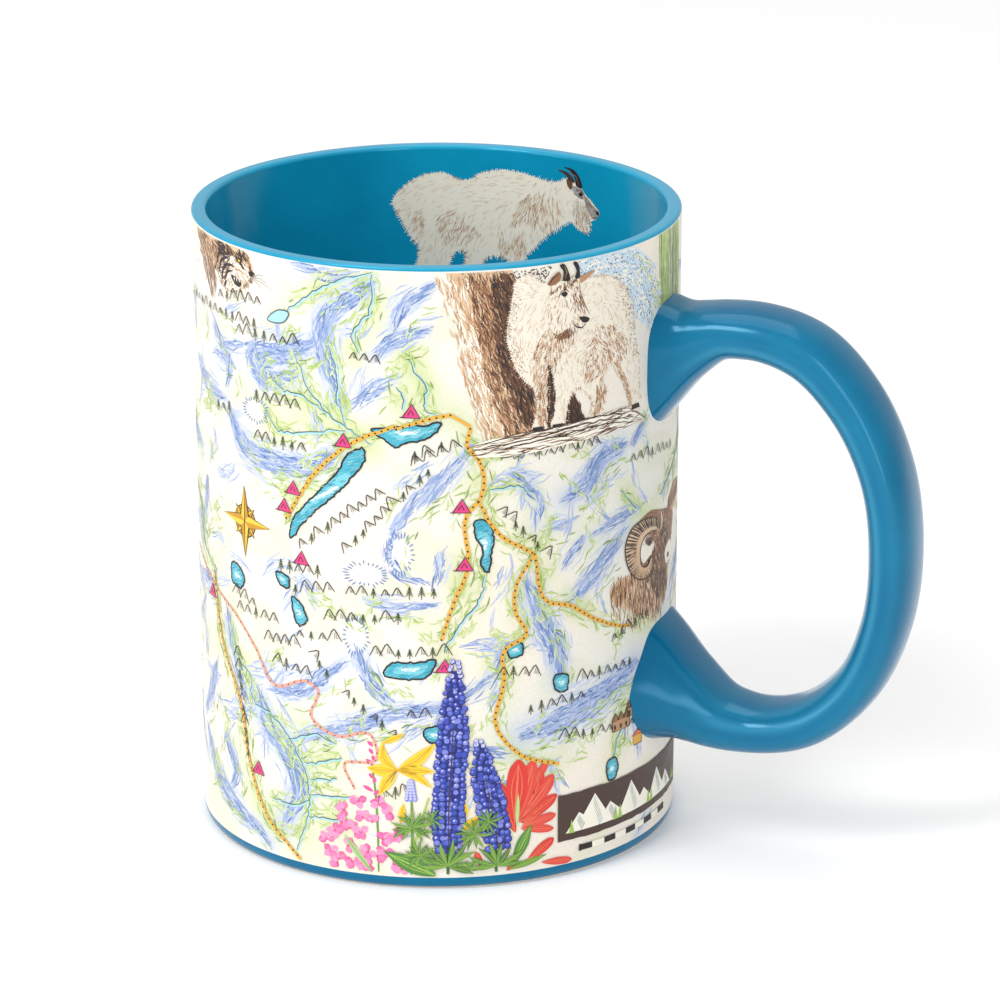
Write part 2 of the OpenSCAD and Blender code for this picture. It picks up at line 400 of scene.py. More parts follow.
def handleRing(path, k, middle):
    g = grip
    out, height, halfThick, halfWide = path[k]
    before, after = path[max(k - 1, 0)], path[min(k + 1, len(path) - 1)]
    heading = (after - before)[:2] / np.linalg.norm((after - before)[:2])
    upper = k < middle
    lean = smoothStep((out - g["leanFrom"]) / (g["leanTo"] - g["leanFrom"]))
    across = heading * lean + np.array([1.0 if upper else -1.0, 0]) * (1 - lean)
    across /= np.linalg.norm(across)
    flare = 1 - smoothStep(out / g["flareReach"])
    saddle = 1 - smoothStep(out / g["saddleReach"])
    rootOut, rootIn = (g["topSquare"], g["topSquare"]) if upper else (g["lowSquareOut"], g["lowSquareIn"])
    a = np.linspace(0, 2 * math.pi, g["ringPoints"], endpoint=False)
    square = np.where(np.sin(a) > 0, g["square"] + (rootOut - g["square"]) * flare,
                      g["square"] + (rootIn - g["square"]) * flare)
    t = signedPower(np.sin(a), 2 / square)
    waist = 0 if upper else g["waist"] * flare
    y = halfWide * signedPower(np.cos(a), 2 / square) * (1 - waist * smoothStep(-t / g["waistAt"]))
    x = cup["rimRadius"] + out - halfThick * t * across[1]
    z = height + halfThick * t * across[0]
    wallX = np.sqrt(wallRadius(z) ** 2 - y * y)
    # painted highlight bands along the handle's sides, fading out at its roots
    bands = [share * paintedHighlightBand(t, a, place, width) for share, place, width in g["thinBands"]]
    thin = (bands[0] + bands[1] + bands[2]) * (1 - flare)
    return np.stack([x + (wallX - cup["rimRadius"]) * saddle, y, z, thin], 1)


def makeHandle():
    path = smoothPath(gripStations, grip["ringStep"])
    n, count = grip["ringPoints"], len(path)
    rings = [handleRing(path, k, count / 2) for k in range(count)]
    points = np.vstack(rings)
    faces = []
    for k in range(count - 1):
        for j in range(n):
            a, b = k * n + j, k * n + (j + 1) % n
            faces.append((a, b, b + n, a + n))
    for start in (0, (count - 1) * n):       # upright strips close each end on the round wall
        for j in range(n // 2):
            corners = [start + j, start + j + 1, start + n - j - 1, start + (n - j) % n]
            faces.append([c for i, c in enumerate(corners) if c != corners[i - 1]])
    piece = meshObject("handleGlaze", points[:, :3].tolist(), faces, blue)
    setPaintedHighlight(piece, points[:, 3])
    turnOutward(piece)
    markSharp(piece, 50)
    return piece


print("handle")
finishPiece(makeHandle(), "blue_glaze", "handle_glaze")


# drawing: a mark is set out flat, s millimetres round the wall and z up it, then laid on the wall

mapRadius = 43.0
roundWall = 2 * math.pi * mapRadius        # one turn of the wall in map millimetres
outside = {
    "Front": math.radians(-70.2), "Turn": 1 / mapRadius, "Radius": wallRadius(0), "Slope": cup["slope"],
    "Side": 1,
}
inside = {
    "Front": math.radians(92), "Turn": -1 / cup["boreRadius"], "Radius": cup["boreRadius"], "Slope": 0,
    "Side": -1,
}
draw = {"firstLift": 0.02, "layerLift": 0.012, "step": 1.3, "dotSides": 8}
rng = np.random.default_rng(11)

inks = {
    "violet1": "c9d2e6", "violet2": "adbbdc", "violet3": "8fa4cf", "violet4": "728dc0", "violet5": "5a76ad",
    "grass1": "d2dea4", "grass2": "bdd086", "grass3": "a2bc69", "grass4": "86a454", "moss": "76904f",
    "stream": "54666c", "water": "a9d8e0", "lake": "4aafc4", "lakeMid": "79cad8",
    "lakePale": "dcf1f2", "lakeDeep": "2a87a0",
    "dark": "2b2220", "brown": "4a3226", "umber": "6e4b36", "sepia": "94694a", "tan": "bd8f68",
    "sand": "dcbb98",
    "fur": "f3ead9", "furShade": "d9c8b2", "cream": "f8f3e3", "grey": "a5a09a", "stone": "cdc6ba",
    "sky1": "d3e3ee", "sky2": "b7d3e6",
    "slate": "6c86a6",
    "trail": "e2ac42", "salmon": "eaa391", "magenta": "dc3f80", "gold": "c8921c", "goldPale": "f0c93e",
    "lupine": "3f4fb4", "lupineLight": "7d87d8", "lupineDark": "27307c", "pink": "e2579b",
    "pinkPale": "f19ac6",
    "red": "dc3b32", "redLight": "f07a5a", "yellow": "f2cf3a", "yellowDeep": "d9a321",
    "leaf": "6d9a3f", "leafLight": "a4c65c", "leafDark": "3f6b32", "leafMid": "548a3d", "leafPale": "b9d39a",
    "lupineMid": "5566c6", "lupinePale": "c2c4ee", "pinkMid": "ea73ad", "redMid": "e24c40",
    "plaque": "4b3730",
    "coat": "fff3dc", "coatPale": "fff9ea", "coatShade": "ecd9bd",
}
inkMaterials = {}


def ink(name):
    # one colour of printing ink: even in colour, as print is, with a grain in its gloss
    if name not in inkMaterials:
        material, tree, shader = newMaterial(name + "Ink")
        shader.inputs["Base Color"].default_value = linear(inks[name])
        stops = [(0.3, (0.36, 0.36, 0.36, 1)), (0.7, (0.5, 0.5, 0.5, 1))]
        gloss = ramp(tree, objectNoise(tree, 900, 3), stops)
        tree.links.new(gloss, shader.inputs["Roughness"])
        shader.inputs["Specular IOR Level"].default_value = 0.35
        inkMaterials[name] = material
    return inkMaterials[name]


def newSheet():
    return {"lines": [], "fills": [], "dots": []}


def addLine(sheet, points, width, inkName, layer, taper=0.35):
    sheet["lines"].append((np.asarray(points, float), width, inkName, layer, taper))


def addFill(sheet, outline, inkName, layer):
    sheet["fills"].append((np.asarray(outline, float), inkName, layer))


def smoothLine(points, step=1.0):
    return smoothPath(np.asarray(points, float), step)


def closedLine(points, step=1.0):
    # a smooth closed outline through its corner points
    points = np.asarray(points, float)
    n = len(points)
    around = smoothPath(np.vstack([points[-2:], points, points[:2]]), step)
    first = np.argmin(np.linalg.norm(around - points[0], axis=1))
    tail = around[first + 3:]
    last = first + 3 + np.argmin(np.linalg.norm(tail - points[0], axis=1))
    return around[first:last]


def wobble(points, size):
    shaken = np.array(points)
    shaken[1:-1] += rng.normal(0, size, shaken[1:-1].shape)
    return shaken


def mathNode(tree, operation, first, second=None):
    node = addNode(tree, "ShaderNodeMath", operation=operation)
    for socket, value in zip(node.inputs, (first, second)):
        if isinstance(value, (int, float)):
            socket.default_value = value
        elif value is not None:
            tree.links.new(value, socket)
    return node.outputs[0]


def wrapNodes(tree, given, geometry):
    # flat (s, z, lift) in millimetres to the round wall in metres
    place = addNode(tree, "GeometryNodeInputPosition")
    flat = addNode(tree, "ShaderNodeSeparateXYZ")
    tree.links.new(place.outputs[0], flat.inputs[0])
    turned = mathNode(tree, "MULTIPLY", flat.outputs["X"], given.outputs["Turn"])
    angle = mathNode(tree, "ADD", turned, given.outputs["Front"])
    wall = mathNode(tree, "ADD", mathNode(tree, "MULTIPLY", flat.outputs["Y"], given.outputs["Slope"]),
                    given.outputs["Radius"])
    lift = mathNode(tree, "MULTIPLY", flat.outputs["Z"], given.outputs["Side"])
    radius = mathNode(tree, "MULTIPLY", mathNode(tree, "ADD", wall, lift), mm)
    joined = addNode(tree, "ShaderNodeCombineXYZ")
    tree.links.new(mathNode(tree, "MULTIPLY", mathNode(tree, "COSINE", angle), radius), joined.inputs["X"])
    tree.links.new(mathNode(tree, "MULTIPLY", mathNode(tree, "SINE", angle), radius), joined.inputs["Y"])
    tree.links.new(mathNode(tree, "MULTIPLY", flat.outputs["Y"], mm), joined.inputs["Z"])
    move = addNode(tree, "GeometryNodeSetPosition")
    tree.links.new(geometry, move.inputs["Geometry"])
    tree.links.new(joined.outputs[0], move.inputs["Position"])
    return move.outputs["Geometry"]


def newTree(name):
    tree = bpy.data.node_groups.new(name, "GeometryNodeTree")
    tree.interface.new_socket("Geometry", in_out="INPUT", socket_type="NodeSocketGeometry")
    for socket in ("Front", "Turn", "Radius", "Slope", "Side"):
        tree.interface.new_socket(socket, in_out="INPUT", socket_type="NodeSocketFloat")
    tree.interface.new_socket("Ink", in_out="INPUT", socket_type="NodeSocketMaterial")
    tree.interface.new_socket("Geometry", in_out="OUTPUT", socket_type="NodeSocketGeometry")
    return tree, addNode(tree, "NodeGroupInput"), addNode(tree, "NodeGroupOutput")


def endTree(tree, given, result, geometry):
    real = addNode(tree, "GeometryNodeRealizeInstances")
    inked = addNode(tree, "GeometryNodeSetMaterial")
    tree.links.new(wrapNodes(tree, given, geometry), real.inputs["Geometry"])
    tree.links.new(real.outputs["Geometry"], inked.inputs["Geometry"])
    tree.links.new(given.outputs["Ink"], inked.inputs["Material"])
    tree.links.new(inked.outputs["Geometry"], result.inputs["Geometry"])


def lineTree():
    # each chain of edges becomes a flat ribbon, as wide as its halfWidth
    tree, given, result = newTree("penLines")
    curve = addNode(tree, "GeometryNodeMeshToCurve")
    tree.links.new(given.outputs["Geometry"], curve.inputs["Mesh"])
    across = addNode(tree, "GeometryNodeCurvePrimitiveLine")
    across.inputs["Start"].default_value = (-1, 0, 0)
    across.inputs["End"].default_value = (1, 0, 0)
    size = addNode(tree, "GeometryNodeInputNamedAttribute", data_type="FLOAT")
    size.inputs["Name"].default_value = "halfWidth"
    ribbon = addNode(tree, "GeometryNodeCurveToMesh")
    tree.links.new(curve.outputs["Curve"], ribbon.inputs["Curve"])
    tree.links.new(across.outputs["Curve"], ribbon.inputs["Profile Curve"])
    tree.links.new(size.outputs["Attribute"], ribbon.inputs["Scale"])
    endTree(tree, given, result, ribbon.outputs["Mesh"])
    return tree


def dotTree():
    # a round dot on each point
    tree, given, result = newTree("printedDots")
    dot = addNode(tree, "GeometryNodeMeshCircle", fill_type="NGON")
    dot.inputs["Vertices"].default_value = draw["dotSides"]
    dot.inputs["Radius"].default_value = 1
    size = addNode(tree, "GeometryNodeInputNamedAttribute", data_type="FLOAT")
    size.inputs["Name"].default_value = "halfWidth"
    many = addNode(tree, "GeometryNodeInstanceOnPoints")
    tree.links.new(given.outputs["Geometry"], many.inputs["Points"])
    tree.links.new(dot.outputs["Mesh"], many.inputs["Instance"])
    tree.links.new(size.outputs["Attribute"], many.inputs["Scale"])
    early = addNode(tree, "GeometryNodeRealizeInstances")
    tree.links.new(many.outputs["Instances"], early.inputs["Geometry"])
    endTree(tree, given, result, early.outputs["Geometry"])
    return tree


trees = {"lines": lineTree(), "dots": dotTree()}


def guideMesh(marks, names, chains):
    points = np.vstack([m[0] for m in marks])
    lengths = [len(m[0]) for m in marks]
    lifts = [draw["firstLift"] + draw["layerLift"] * m[3] + rng.uniform(0, 0.007) for m in marks]
    sizes = []
    for path, width, inkName, layer, taper in marks:
        swell = np.sin(np.linspace(0, math.pi, len(path)))
        sizes.append(width / 2 * (taper + (1 - taper) * swell))
    starts = np.cumsum([0] + lengths[:-1])
    edges = [(s + k, s + k + 1) for s, n in zip(starts, lengths) for k in range(n - 1)] if chains else []
    mesh = bpy.data.meshes.new("guide")
    mesh.from_pydata(np.column_stack([points, np.repeat(lifts, lengths)]).tolist(), edges, [])
    width = mesh.attributes.new("halfWidth", "FLOAT", "POINT")
    width.data.foreach_set("value", np.concatenate(sizes).astype(np.float32))
    colour = mesh.attributes.new("ink", "INT", "POINT")
    colour.data.foreach_set("value", np.repeat([names.index(m[2]) for m in marks], lengths).astype(np.int32))
    return mesh


def grownMesh(marks, names, kind, wall):
    # runs the tree on the guide and keeps what it grows as a plain mesh
    guide = bpy.data.objects.new("guide", guideMesh(marks, names, kind == "lines"))
    bpy.context.scene.collection.objects.link(guide)
    grow = guide.modifiers.new("grow", "NODES")
    grow.node_group = trees[kind]
    for socket in trees[kind].interface.items_tree:
        if socket.in_out == "INPUT" and socket.name in wall:
            grow[socket.identifier] = float(wall[socket.name])
        if socket.in_out == "INPUT" and socket.name == "Ink":
            grow[socket.identifier] = ink(names[0])
    grown = bpy.data.meshes.new_from_object(guide.evaluated_get(bpy.context.evaluated_depsgraph_get()))
    values = np.zeros(len(grown.vertices), np.int32)
    grown.attributes["ink"].data.foreach_get("value", values)
    corners = np.zeros(len(grown.loops), np.int32)
    grown.loops.foreach_get("vertex_index", corners)
    starts = np.zeros(len(grown.polygons), np.int32)
    grown.polygons.foreach_get("loop_start", starts)
    grown.materials.clear()
    for name in names:
        grown.materials.append(ink(name))
    grown.polygons.foreach_set("material_index", values[corners[starts]])
    old = guide.data
    bpy.data.objects.remove(guide)
    bpy.data.meshes.remove(old)
    return grown


def fillMesh(fills, names, wall):
    work = bmesh.new()
    for outline, inkName, layer in fills:
        lift = draw["firstLift"] + draw["layerLift"] * layer
        if wall is outside:
            outline = np.clip(outline, (-1e9, cup["bandHeight"] + 0.1), (1e9, cup["lipHeight"] - 0.05))
        corners = [Vector((s, z, lift)) for s, z in outline]
        made = [work.verts.new(c) for c in corners]
        for triangle in tessellate_polygon([corners]):
            face = work.faces.new([made[i] for i in triangle])
            face.normal_update()
            if face.normal.z < 0:
                face.normal_flip()
            face.material_index = names.index(inkName)
    across = [v.co.x for v in work.verts]
    cut = math.ceil(min(across) / draw["step"]) * draw["step"]
    while cut < max(across):
        everything = work.verts[:] + work.edges[:] + work.faces[:]
        bmesh.ops.bisect_plane(work, geom=everything, plane_co=(cut, 0, 0), plane_no=(1, 0, 0), dist=0.0001)
        cut += draw["step"]
    for v in work.verts:
        angle = wall["Front"] + v.co.x * wall["Turn"]
        radius = (wall["Radius"] + wall["Slope"] * v.co.y + v.co.z * wall["Side"]) * mm
        v.co = (radius * math.cos(angle), radius * math.sin(angle), v.co.y * mm)
    bmesh.ops.dissolve_degenerate(work, edges=work.edges[:], dist=1e-7)
    mesh = bpy.data.meshes.new("fills")
    for name in names:
        mesh.materials.append(ink(name))
    work.to_mesh(mesh)
    work.free()
    return mesh


def printSheet(name, sheet, slot="map_print", wall=outside, nodes=()):
    names = sorted({m[2] for m in sheet["lines"] + sheet["dots"]} | {m[1] for m in sheet["fills"]})
    work = bmesh.new()
    made = [grownMesh(sheet[kind], names, kind, wall) for kind in ("lines", "dots") if sheet[kind]]
    if sheet["fills"]:
        made.append(fillMesh(sheet["fills"], names, wall))
    for mesh in made:
        work.from_mesh(mesh)
        bpy.data.meshes.remove(mesh)
    whole = bpy.data.meshes.new(name)
    for inkName in names:
        whole.materials.append(ink(inkName))
    work.to_mesh(whole)
    work.free()
    for spent in ("halfWidth", "ink"):
        if spent in whole.attributes:
            whole.attributes.remove(whole.attributes[spent])
    whole.polygons.foreach_set("use_smooth", [True] * len(whole.polygons))
    piece = bpy.data.objects.new(name, whole)
    bpy.context.scene.collection.objects.link(piece)
    finishPiece(piece, slot, *nodes)
    print(name, len(whole.polygons))
    return piece


def spotsInside(outline, count):
    # random places inside a closed outline
    outline = np.asarray(outline, float)
    low, high = outline.min(axis=0), outline.max(axis=0)
    kept = []
    nexts = np.roll(outline, -1, axis=0)
    while len(kept) < count:
        tries = rng.uniform(low, high, (count * 3, 2))
        above = (outline[None, :, 1] > tries[:, None, 1]) != (nexts[None, :, 1] > tries[:, None, 1])
        rise = np.where(nexts[:, 1] == outline[:, 1], 1e-9, nexts[:, 1] - outline[:, 1])
        slant = ((nexts - outline)[:, 0] / rise)[None, :]
        cross = outline[None, :, 0] + (tries[:, None, 1] - outline[None, :, 1]) * slant
        within = (above & (tries[:, None, 0] < cross)).sum(axis=1) % 2 == 1
        kept.extend(tries[within].tolist())
    return np.array(kept[:count])


# the map: each ridge is a run of points with its width and how strongly it is shaded

ridges = [
    (2.5, 0.5, [(-24.5, 111.5), (-18, 111), (-13, 112)]),
    (3.4, 1.0, [(-11.5, 110), (-15.5, 106.5), (-19.5, 102.5), (-20, 98), (-18.5, 93), (-17.5, 89)]),
    (2.4, 0.8, [(-1.5, 109.5), (-5.5, 106.5), (-7.5, 102.5)]),
    (2.2, 0.8, [(-2.5, 102), (-7.5, 100), (-11, 97)]),
    (2.2, 0.5, [(-7.5, 93.5), (-11.5, 91), (-15.5, 87.5)]),
    (4.5, 0.9, [(-23, 98), (-29, 95.5), (-35, 93), (-33.5, 90.5), (-26, 92)]),
    (2.0, 0.5, [(-47.5, 97), (-45, 94), (-39.5, 94.5), (-35, 96)]),
    (2.6, 0.6, [(-56, 87.5), (-50.5, 85), (-44.5, 84)]),
    (2.2, 0.8, [(-46.5, 91.5), (-42, 90.5), (-43, 87)]),
    (2.4, 0.6, [(-65.5, 75), (-55.5, 72.5)]),
    (4.0, 0.9, [(-41.5, 80.5), (-38, 77), (-30, 75.5), (-22, 76.5), (-18, 79)]),
    (2.4, 0.6, [(-53, 66), (-54.5, 61), (-57, 57)]),
    (2.0, 0.6, [(0, 76), (-4, 71.5), (-8, 66)]),
    (1.8, 0.5, [(-7.5, 65.5), (-8.5, 62.5), (-7, 58.5), (-2, 57)]),
    (1.8, 0.6, [(-12, 53), (-7, 52.5), (-0.5, 53)]),
    (2.6, 0.7, [(-14, 43.5), (-13, 40.5), (-11, 37), (-8, 34)]),
    (2.8, 0.7, [(0, 34), (-6.5, 33), (-15, 30), (-21.5, 27.5), (-27.5, 25.5)]),
    (2.6, 0.7, [(-31.5, 33.5), (-26.5, 34.5), (-21, 38), (-17, 41.5)]),
    (2.8, 0.8, [(-55.5, 18), (-51.5, 12.5), (-44.5, 9), (-37.5, 6.5), (-33, 4)]),
    (4.0, 1.0, [(-35.5, 31.5), (-32.5, 26), (-28.5, 22), (-26, 17), (-29.5, 9)]),
    (2.6, 0.4, [(-44.5, 44), (-42.5, 35.5), (-39, 30)]),
    (2.0, 0.6, [(-57, 48), (-50.5, 47.5)]),
    (1.8, 0.5, [(1, 61.5), (-0.5, 56.5)]),
    (3.0, 0.7, [(38, 62), (29.5, 55.5), (24.5, 51.5)]),
    (2.0, 0.6, [(26.5, 62), (23, 58)]),
    (3.4, 1.0, [(16, 55.5), (18.5, 49), (21.5, 42.5), (22, 37)]),
    (2.0, 0.6, [(11.5, 44), (9, 39), (6, 36.5), (-0.5, 34)]),
    (5.0, 1.0, [(39.5, 35.5), (33, 33), (24.5, 30), (15, 28)]),
    (1.8, 0.6, [(6.5, 26), (12, 24.5)]),
    (2.0, 0.7, [(45.5, 5.5), (41.5, 2.8)]),
    (2.2, 0.6, [(5.5, 80.5), (1, 75.5), (-1.5, 71.5)]),
    (3.4, 1.0, [(35.5, 77), (30.5, 75.5), (27.5, 72), (23, 70)]),
    (2.0, 0.6, [(42.5, 80), (39, 76.5)]),
    (2.2, 0.6, [(40.5, 64.5), (33, 63.5), (28.5, 62)]),
    (2.0, 0.5, [(24, 66), (19, 65)]),
    (2.6, 0.6, [(-50, 33), (-54, 26), (-58, 22)]),
    (2.4, 0.6, [(-46, 20), (-43, 15), (-45, 11)]),
    (2.2, 0.5, [(14, 75), (18, 70), (17, 66)]),
    (2.4, 0.6, [(52, 88), (58, 84), (66, 83)]),
    (2.6, 0.6, [(62, 50), (55, 45), (48, 38)]),
]
streams = [
    [(-11, 112), (-18.5, 109.5), (-24.5, 105.5), (-29, 102)],
    [(-11, 111.5), (-11.5, 105.5), (-14.5, 100.5), (-13.5, 97.5)],
    [(-19, 98.5), (-17.5, 93.5), (-17.5, 89), (-16, 84.5)],
    [(-25.5, 95.5), (-23, 90), (-19, 86), (-15, 83.5), (-11.5, 81.5)],
    [(-31, 91), (-28, 89), (-25, 89), (-20, 86.5)],
    [(-32.5, 84.5), (-29.5, 81.5), (-23, 82.5), (-16, 83.5)],
    [(-5, 97), (-2, 91.5), (-2, 88), (0.5, 87)],
    [(-7, 92), (-6, 90.5), (-6, 88)],
    [(8, 58), (7, 53.5), (3.5, 49), (1, 44.5)],
    [(-43.5, 42.5), (-41, 36.5), (-37.5, 34), (-37.5, 31), (-31.5, 28), (-28, 25), (-25, 20), (-24, 14.5),
     (-25.5, 8.5), (-27, 4.5)],
    [(-25, 21.5), (-20.5, 22.5), (-17.5, 23.5)],
    [(-24, 18.5), (-18.5, 19.5)],
    [(-24, 15.5), (-16, 16.5)],
    [(-24.5, 11.5), (-15.5, 12)],
    [(63, 73), (54.5, 67.5), (47, 64), (41.5, 64), (35.5, 69)],
    [(9, 73.5), (14.5, 73.5), (16, 72.5)],
    [(-28.5, 25), (-22.5, 27), (-18.5, 26)],
    [(-32.5, 13), (-27, 13), (-24, 14.5)],
    [(-62, 64), (-57, 60), (-55, 54), (-49, 51)],
    [(44, 30), (38, 27), (34, 19)],
]
lakes = [
    [(-11.4, 84.2), (-9.2, 82.6), (-7.2, 81.3), (-5.2, 82.2), (-2.6, 82.6), (0.2, 84.6), (0.7, 85.8),
     (-2, 85.2), (-5, 85.4), (-8.2, 84.6)],
    [(-27.3, 62.5), (-24.7, 65.4), (-21.4, 68.8), (-18, 71.9), (-15.2, 75), (-12.5, 79), (-12.7, 80.6),
     (-15.2, 79.8), (-17.3, 76.4), (-20.6, 72.6), (-24, 69), (-26.9, 65.4)],
    [(-42.6, 54.4), (-40.6, 54.2), (-39, 52.2), (-40.2, 50.2), (-42.4, 50.6)],
    [(-30.6, 55.6), (-27.6, 54.8), (-27.8, 53.2), (-30, 53.6)],
    [(-27, 51.8), (-24.8, 50.4), (-24, 47.6), (-25.6, 46.6), (-26.8, 48.8)],
    [(6.4, 68), (8.2, 68), (9.6, 65.4), (9.2, 61.6), (8.5, 58.6), (7.5, 59.8), (7.7, 62.8), (6.5, 65.2)],
    [(-9.6, 40.2), (-6.2, 39.2), (-1.2, 40.6), (-0.4, 42.6), (-4.8, 42.2), (-8.4, 41.9)],
    [(21.2, 38.2), (23.6, 37.8), (23.4, 35), (21.4, 35.2)],
    [(12, 44.6), (14.4, 45.4), (14.8, 43), (12.6, 42.6)],
    [(-2.6, 29.8), (0.4, 30.4), (0.8, 28.2), (-2, 27.8)],
    [(33.2, 19.6), (35, 19.6), (34.8, 15.8), (33.4, 15.8)],
]
paleLakes = [[(-31.6, 101), (-28.8, 103.2), (-26.8, 103), (-27.6, 101.4)]]
trails = [
    [(-7, 84.5), (0.5, 86.8), (4, 87), (5.5, 85), (5, 81.5), (7, 79), (7, 71.5), (5.5, 70), (5, 59),
     (3, 54), (0.5, 46.5)],
    [(17, 61), (13.5, 55), (13.5, 51), (15.5, 46.5), (11.5, 44), (11.5, 38.5), (10, 30.5), (14.5, 24.5),
     (22, 21.5)],
    [(17, 61), (19.5, 52), (24, 50.5), (28.5, 47.5), (36, 44), (49.5, 43)],
    [(-50, 50.5), (-47, 38.5), (-41, 29), (-38.5, 18.5), (-34.5, 10), (-26, 2.9)],
    [(-28, 66), (-22, 75), (-14, 82), (-7, 85)],
    [(7, 79), (10, 81), (14, 82)],
    [(7, 71.5), (10, 66), (17, 61)],
]
dottedTrail = [(-61, 52.5), (-50, 48), (-40.5, 44), (-36.5, 40.5), (-31.5, 34.5), (-23.5, 36.5),
               (-22, 35.5), (-23.5, 30.5), (-18.5, 27.5), (-12, 28.5), (-11, 24), (-17, 22.5), (-15, 18)]
glaciers = [(-35, 84, 2.4, 1.7), (-6.5, 62, 1.7, 2.9), (-12.5, 58, 3.0, 1.7), (-14.5, 46.5, 1.8, 2.9)]
camps = [(-16.5, 81.5), (-4.5, 87.5), (-26.5, 71.5), (-28.5, 68), (4, 70.5), (-25, 59), (4.5, 60),
         (1, 41.5), (-51, 46.5), (-36, 17.5)]
# where the pictures stand, as (s, z, half width, half height), kept clear of the map's lines
pictures = [(11, 99, 12, 16), (30, 96, 16, 16), (46, 52, 10.5, 12.5), (-46, 109, 9.5, 7),
            (-38.5, 63, 7.5, 7), (42, 11.5, 21, 6)]
farSide = (66.5, 57.3)        # the map carries on round the back as itself, turned about this point


def turnedRound(points):
    return [(2 * farSide[0] - s, 2 * farSide[1] - z) for s, z in points]


def inPicture(s, z, spare=0.0):
    for cs, cz, halfS, halfZ in pictures:
        if ((s - cs) / (halfS + spare)) ** 4 + ((z - cz) / (halfZ + spare)) ** 4 < 1:
            return True
    return False


def onPrint(path):
    return path[:, 1].min() > cup["bandHeight"] + 0.3 and path[:, 1].max() < cup["lipHeight"] - 0.2


def hatchBand(sheet, run, width, strength, colours, layer, lengths=(2.0, 5.0), spread=0.16, density=2.4,
              thick=0.34):
    spine = smoothLine(run, 0.6)
    total = np.linalg.norm(np.diff(spine, axis=0), axis=1).sum()
    for mark in range(int(total * width * density * strength)):
        at = rng.uniform()
        i = int(at * (len(spine) - 2))
        heading = spine[i + 1] - spine[i]
        turn = math.atan2(heading[1], heading[0]) + rng.normal(0, spread)
        along = np.array([math.cos(turn), math.sin(turn)])
        aside = np.array([-along[1], along[0]])
        reach = width * (0.3 + 0.7 * math.sin(math.pi * at))
        middle = spine[i] + aside * reach * rng.uniform(-0.5, 0.5)
        half = rng.uniform(*lengths) / 2
        path = np.array([middle - along * half, middle + aside * rng.normal(0, 0.12) * half,
                         middle + along * half])
        if onPrint(path) and not inPicture(*middle):
            pick = colours[min(int(abs(rng.normal(0, 0.45)) * len(colours)), len(colours) - 1)]
            addLine(sheet, path, rng.uniform(0.6, 1.2) * thick, pick, layer)


def bothSides(runs):
    return runs + [turnedRound(run) for run in runs]


print("map shading")
allRidges = ridges + [(w, strength, turnedRound(run)) for w, strength, run in ridges]
shading = newSheet()
for width, strength, run in allRidges:
    hatchBand(shading, run, width, strength, ("violet3", "violet2", "violet4", "violet1", "violet5"), 1)
    hatchBand(shading, run, width * 2.2, strength * 0.25, ("violet1", "violet2"), 0)
for mark in range(230):
    start = np.array([rng.uniform(-roundWall / 4, 3 * roundWall / 4), rng.uniform(8, 106)])
    angle = rng.normal(0.65, 0.5) if mark % 3 else rng.normal(2.3, 0.4)
    reach = rng.uniform(5, 11)
    bow = np.array([-math.sin(angle), math.cos(angle)]) * rng.uniform(-1.5, 1.5)
    heading = np.array([math.cos(angle), math.sin(angle)])
    run = [start, start + heading * reach / 2 + bow, start + heading * reach]
    hatchBand(shading, run, rng.uniform(1.4, 3.2), rng.uniform(0.2, 0.5), ("violet1", "violet2", "violet3"),
              0)
printSheet("pencilShading", shading)

print("map meadows")
meadows = newSheet()
for run in bothSides(streams) + bothSides(trails):
    hatchBand(meadows, run, 5.0, 0.5, ("grass2", "grass1", "grass3", "grass4"), 2, (1.2, 3.0), 0.5, 1.2,
              0.34)
for width, strength, run in allRidges:
    aside = [(s + 2.2, z - 2.6) for s, z in run]
    hatchBand(meadows, aside, width, strength * 0.6, ("grass2", "grass3", "grass1", "moss"), 2, (1.2, 3.0),
              0.3, 0.9, 0.3)
for mark in range(200):
    start = np.array([rng.uniform(-roundWall / 4, 3 * roundWall / 4), rng.uniform(6, 108)])
    angle = rng.uniform(0, math.pi)
    heading = np.array([math.cos(angle), math.sin(angle)])
    run = [start, start + heading * rng.uniform(2, 4), start + heading * rng.uniform(5, 8)
           + rng.uniform(-1, 1, 2)]
    hatchBand(meadows, run, rng.uniform(2, 4.5), rng.uniform(0.3, 0.7), ("grass2", "grass1", "grass3"), 1,
              (1.0, 2.4), 0.6, 1.3, 0.34)
printSheet("meadowShading", meadows)


def hachuredOval(sheet, s, z, wide, high):
    turns = np.linspace(0, 2 * math.pi, 14, endpoint=False)
    ring = [(s + wide * math.cos(a), z + high * math.sin(a)) for a in turns]
    addFill(sheet, closedLine(ring, 0.5), "cream", 1)
    for a in np.linspace(0, 2 * math.pi, 26, endpoint=False):
        out = np.array([math.cos(a), math.sin(a)]) * rng.uniform(1.0, 1.3)
        addLine(sheet, [(s + wide * out[0] * k, z + high * out[1] * k) for k in (0.85, 1.05, 1.2)], 0.26,
                "violet4", 4)


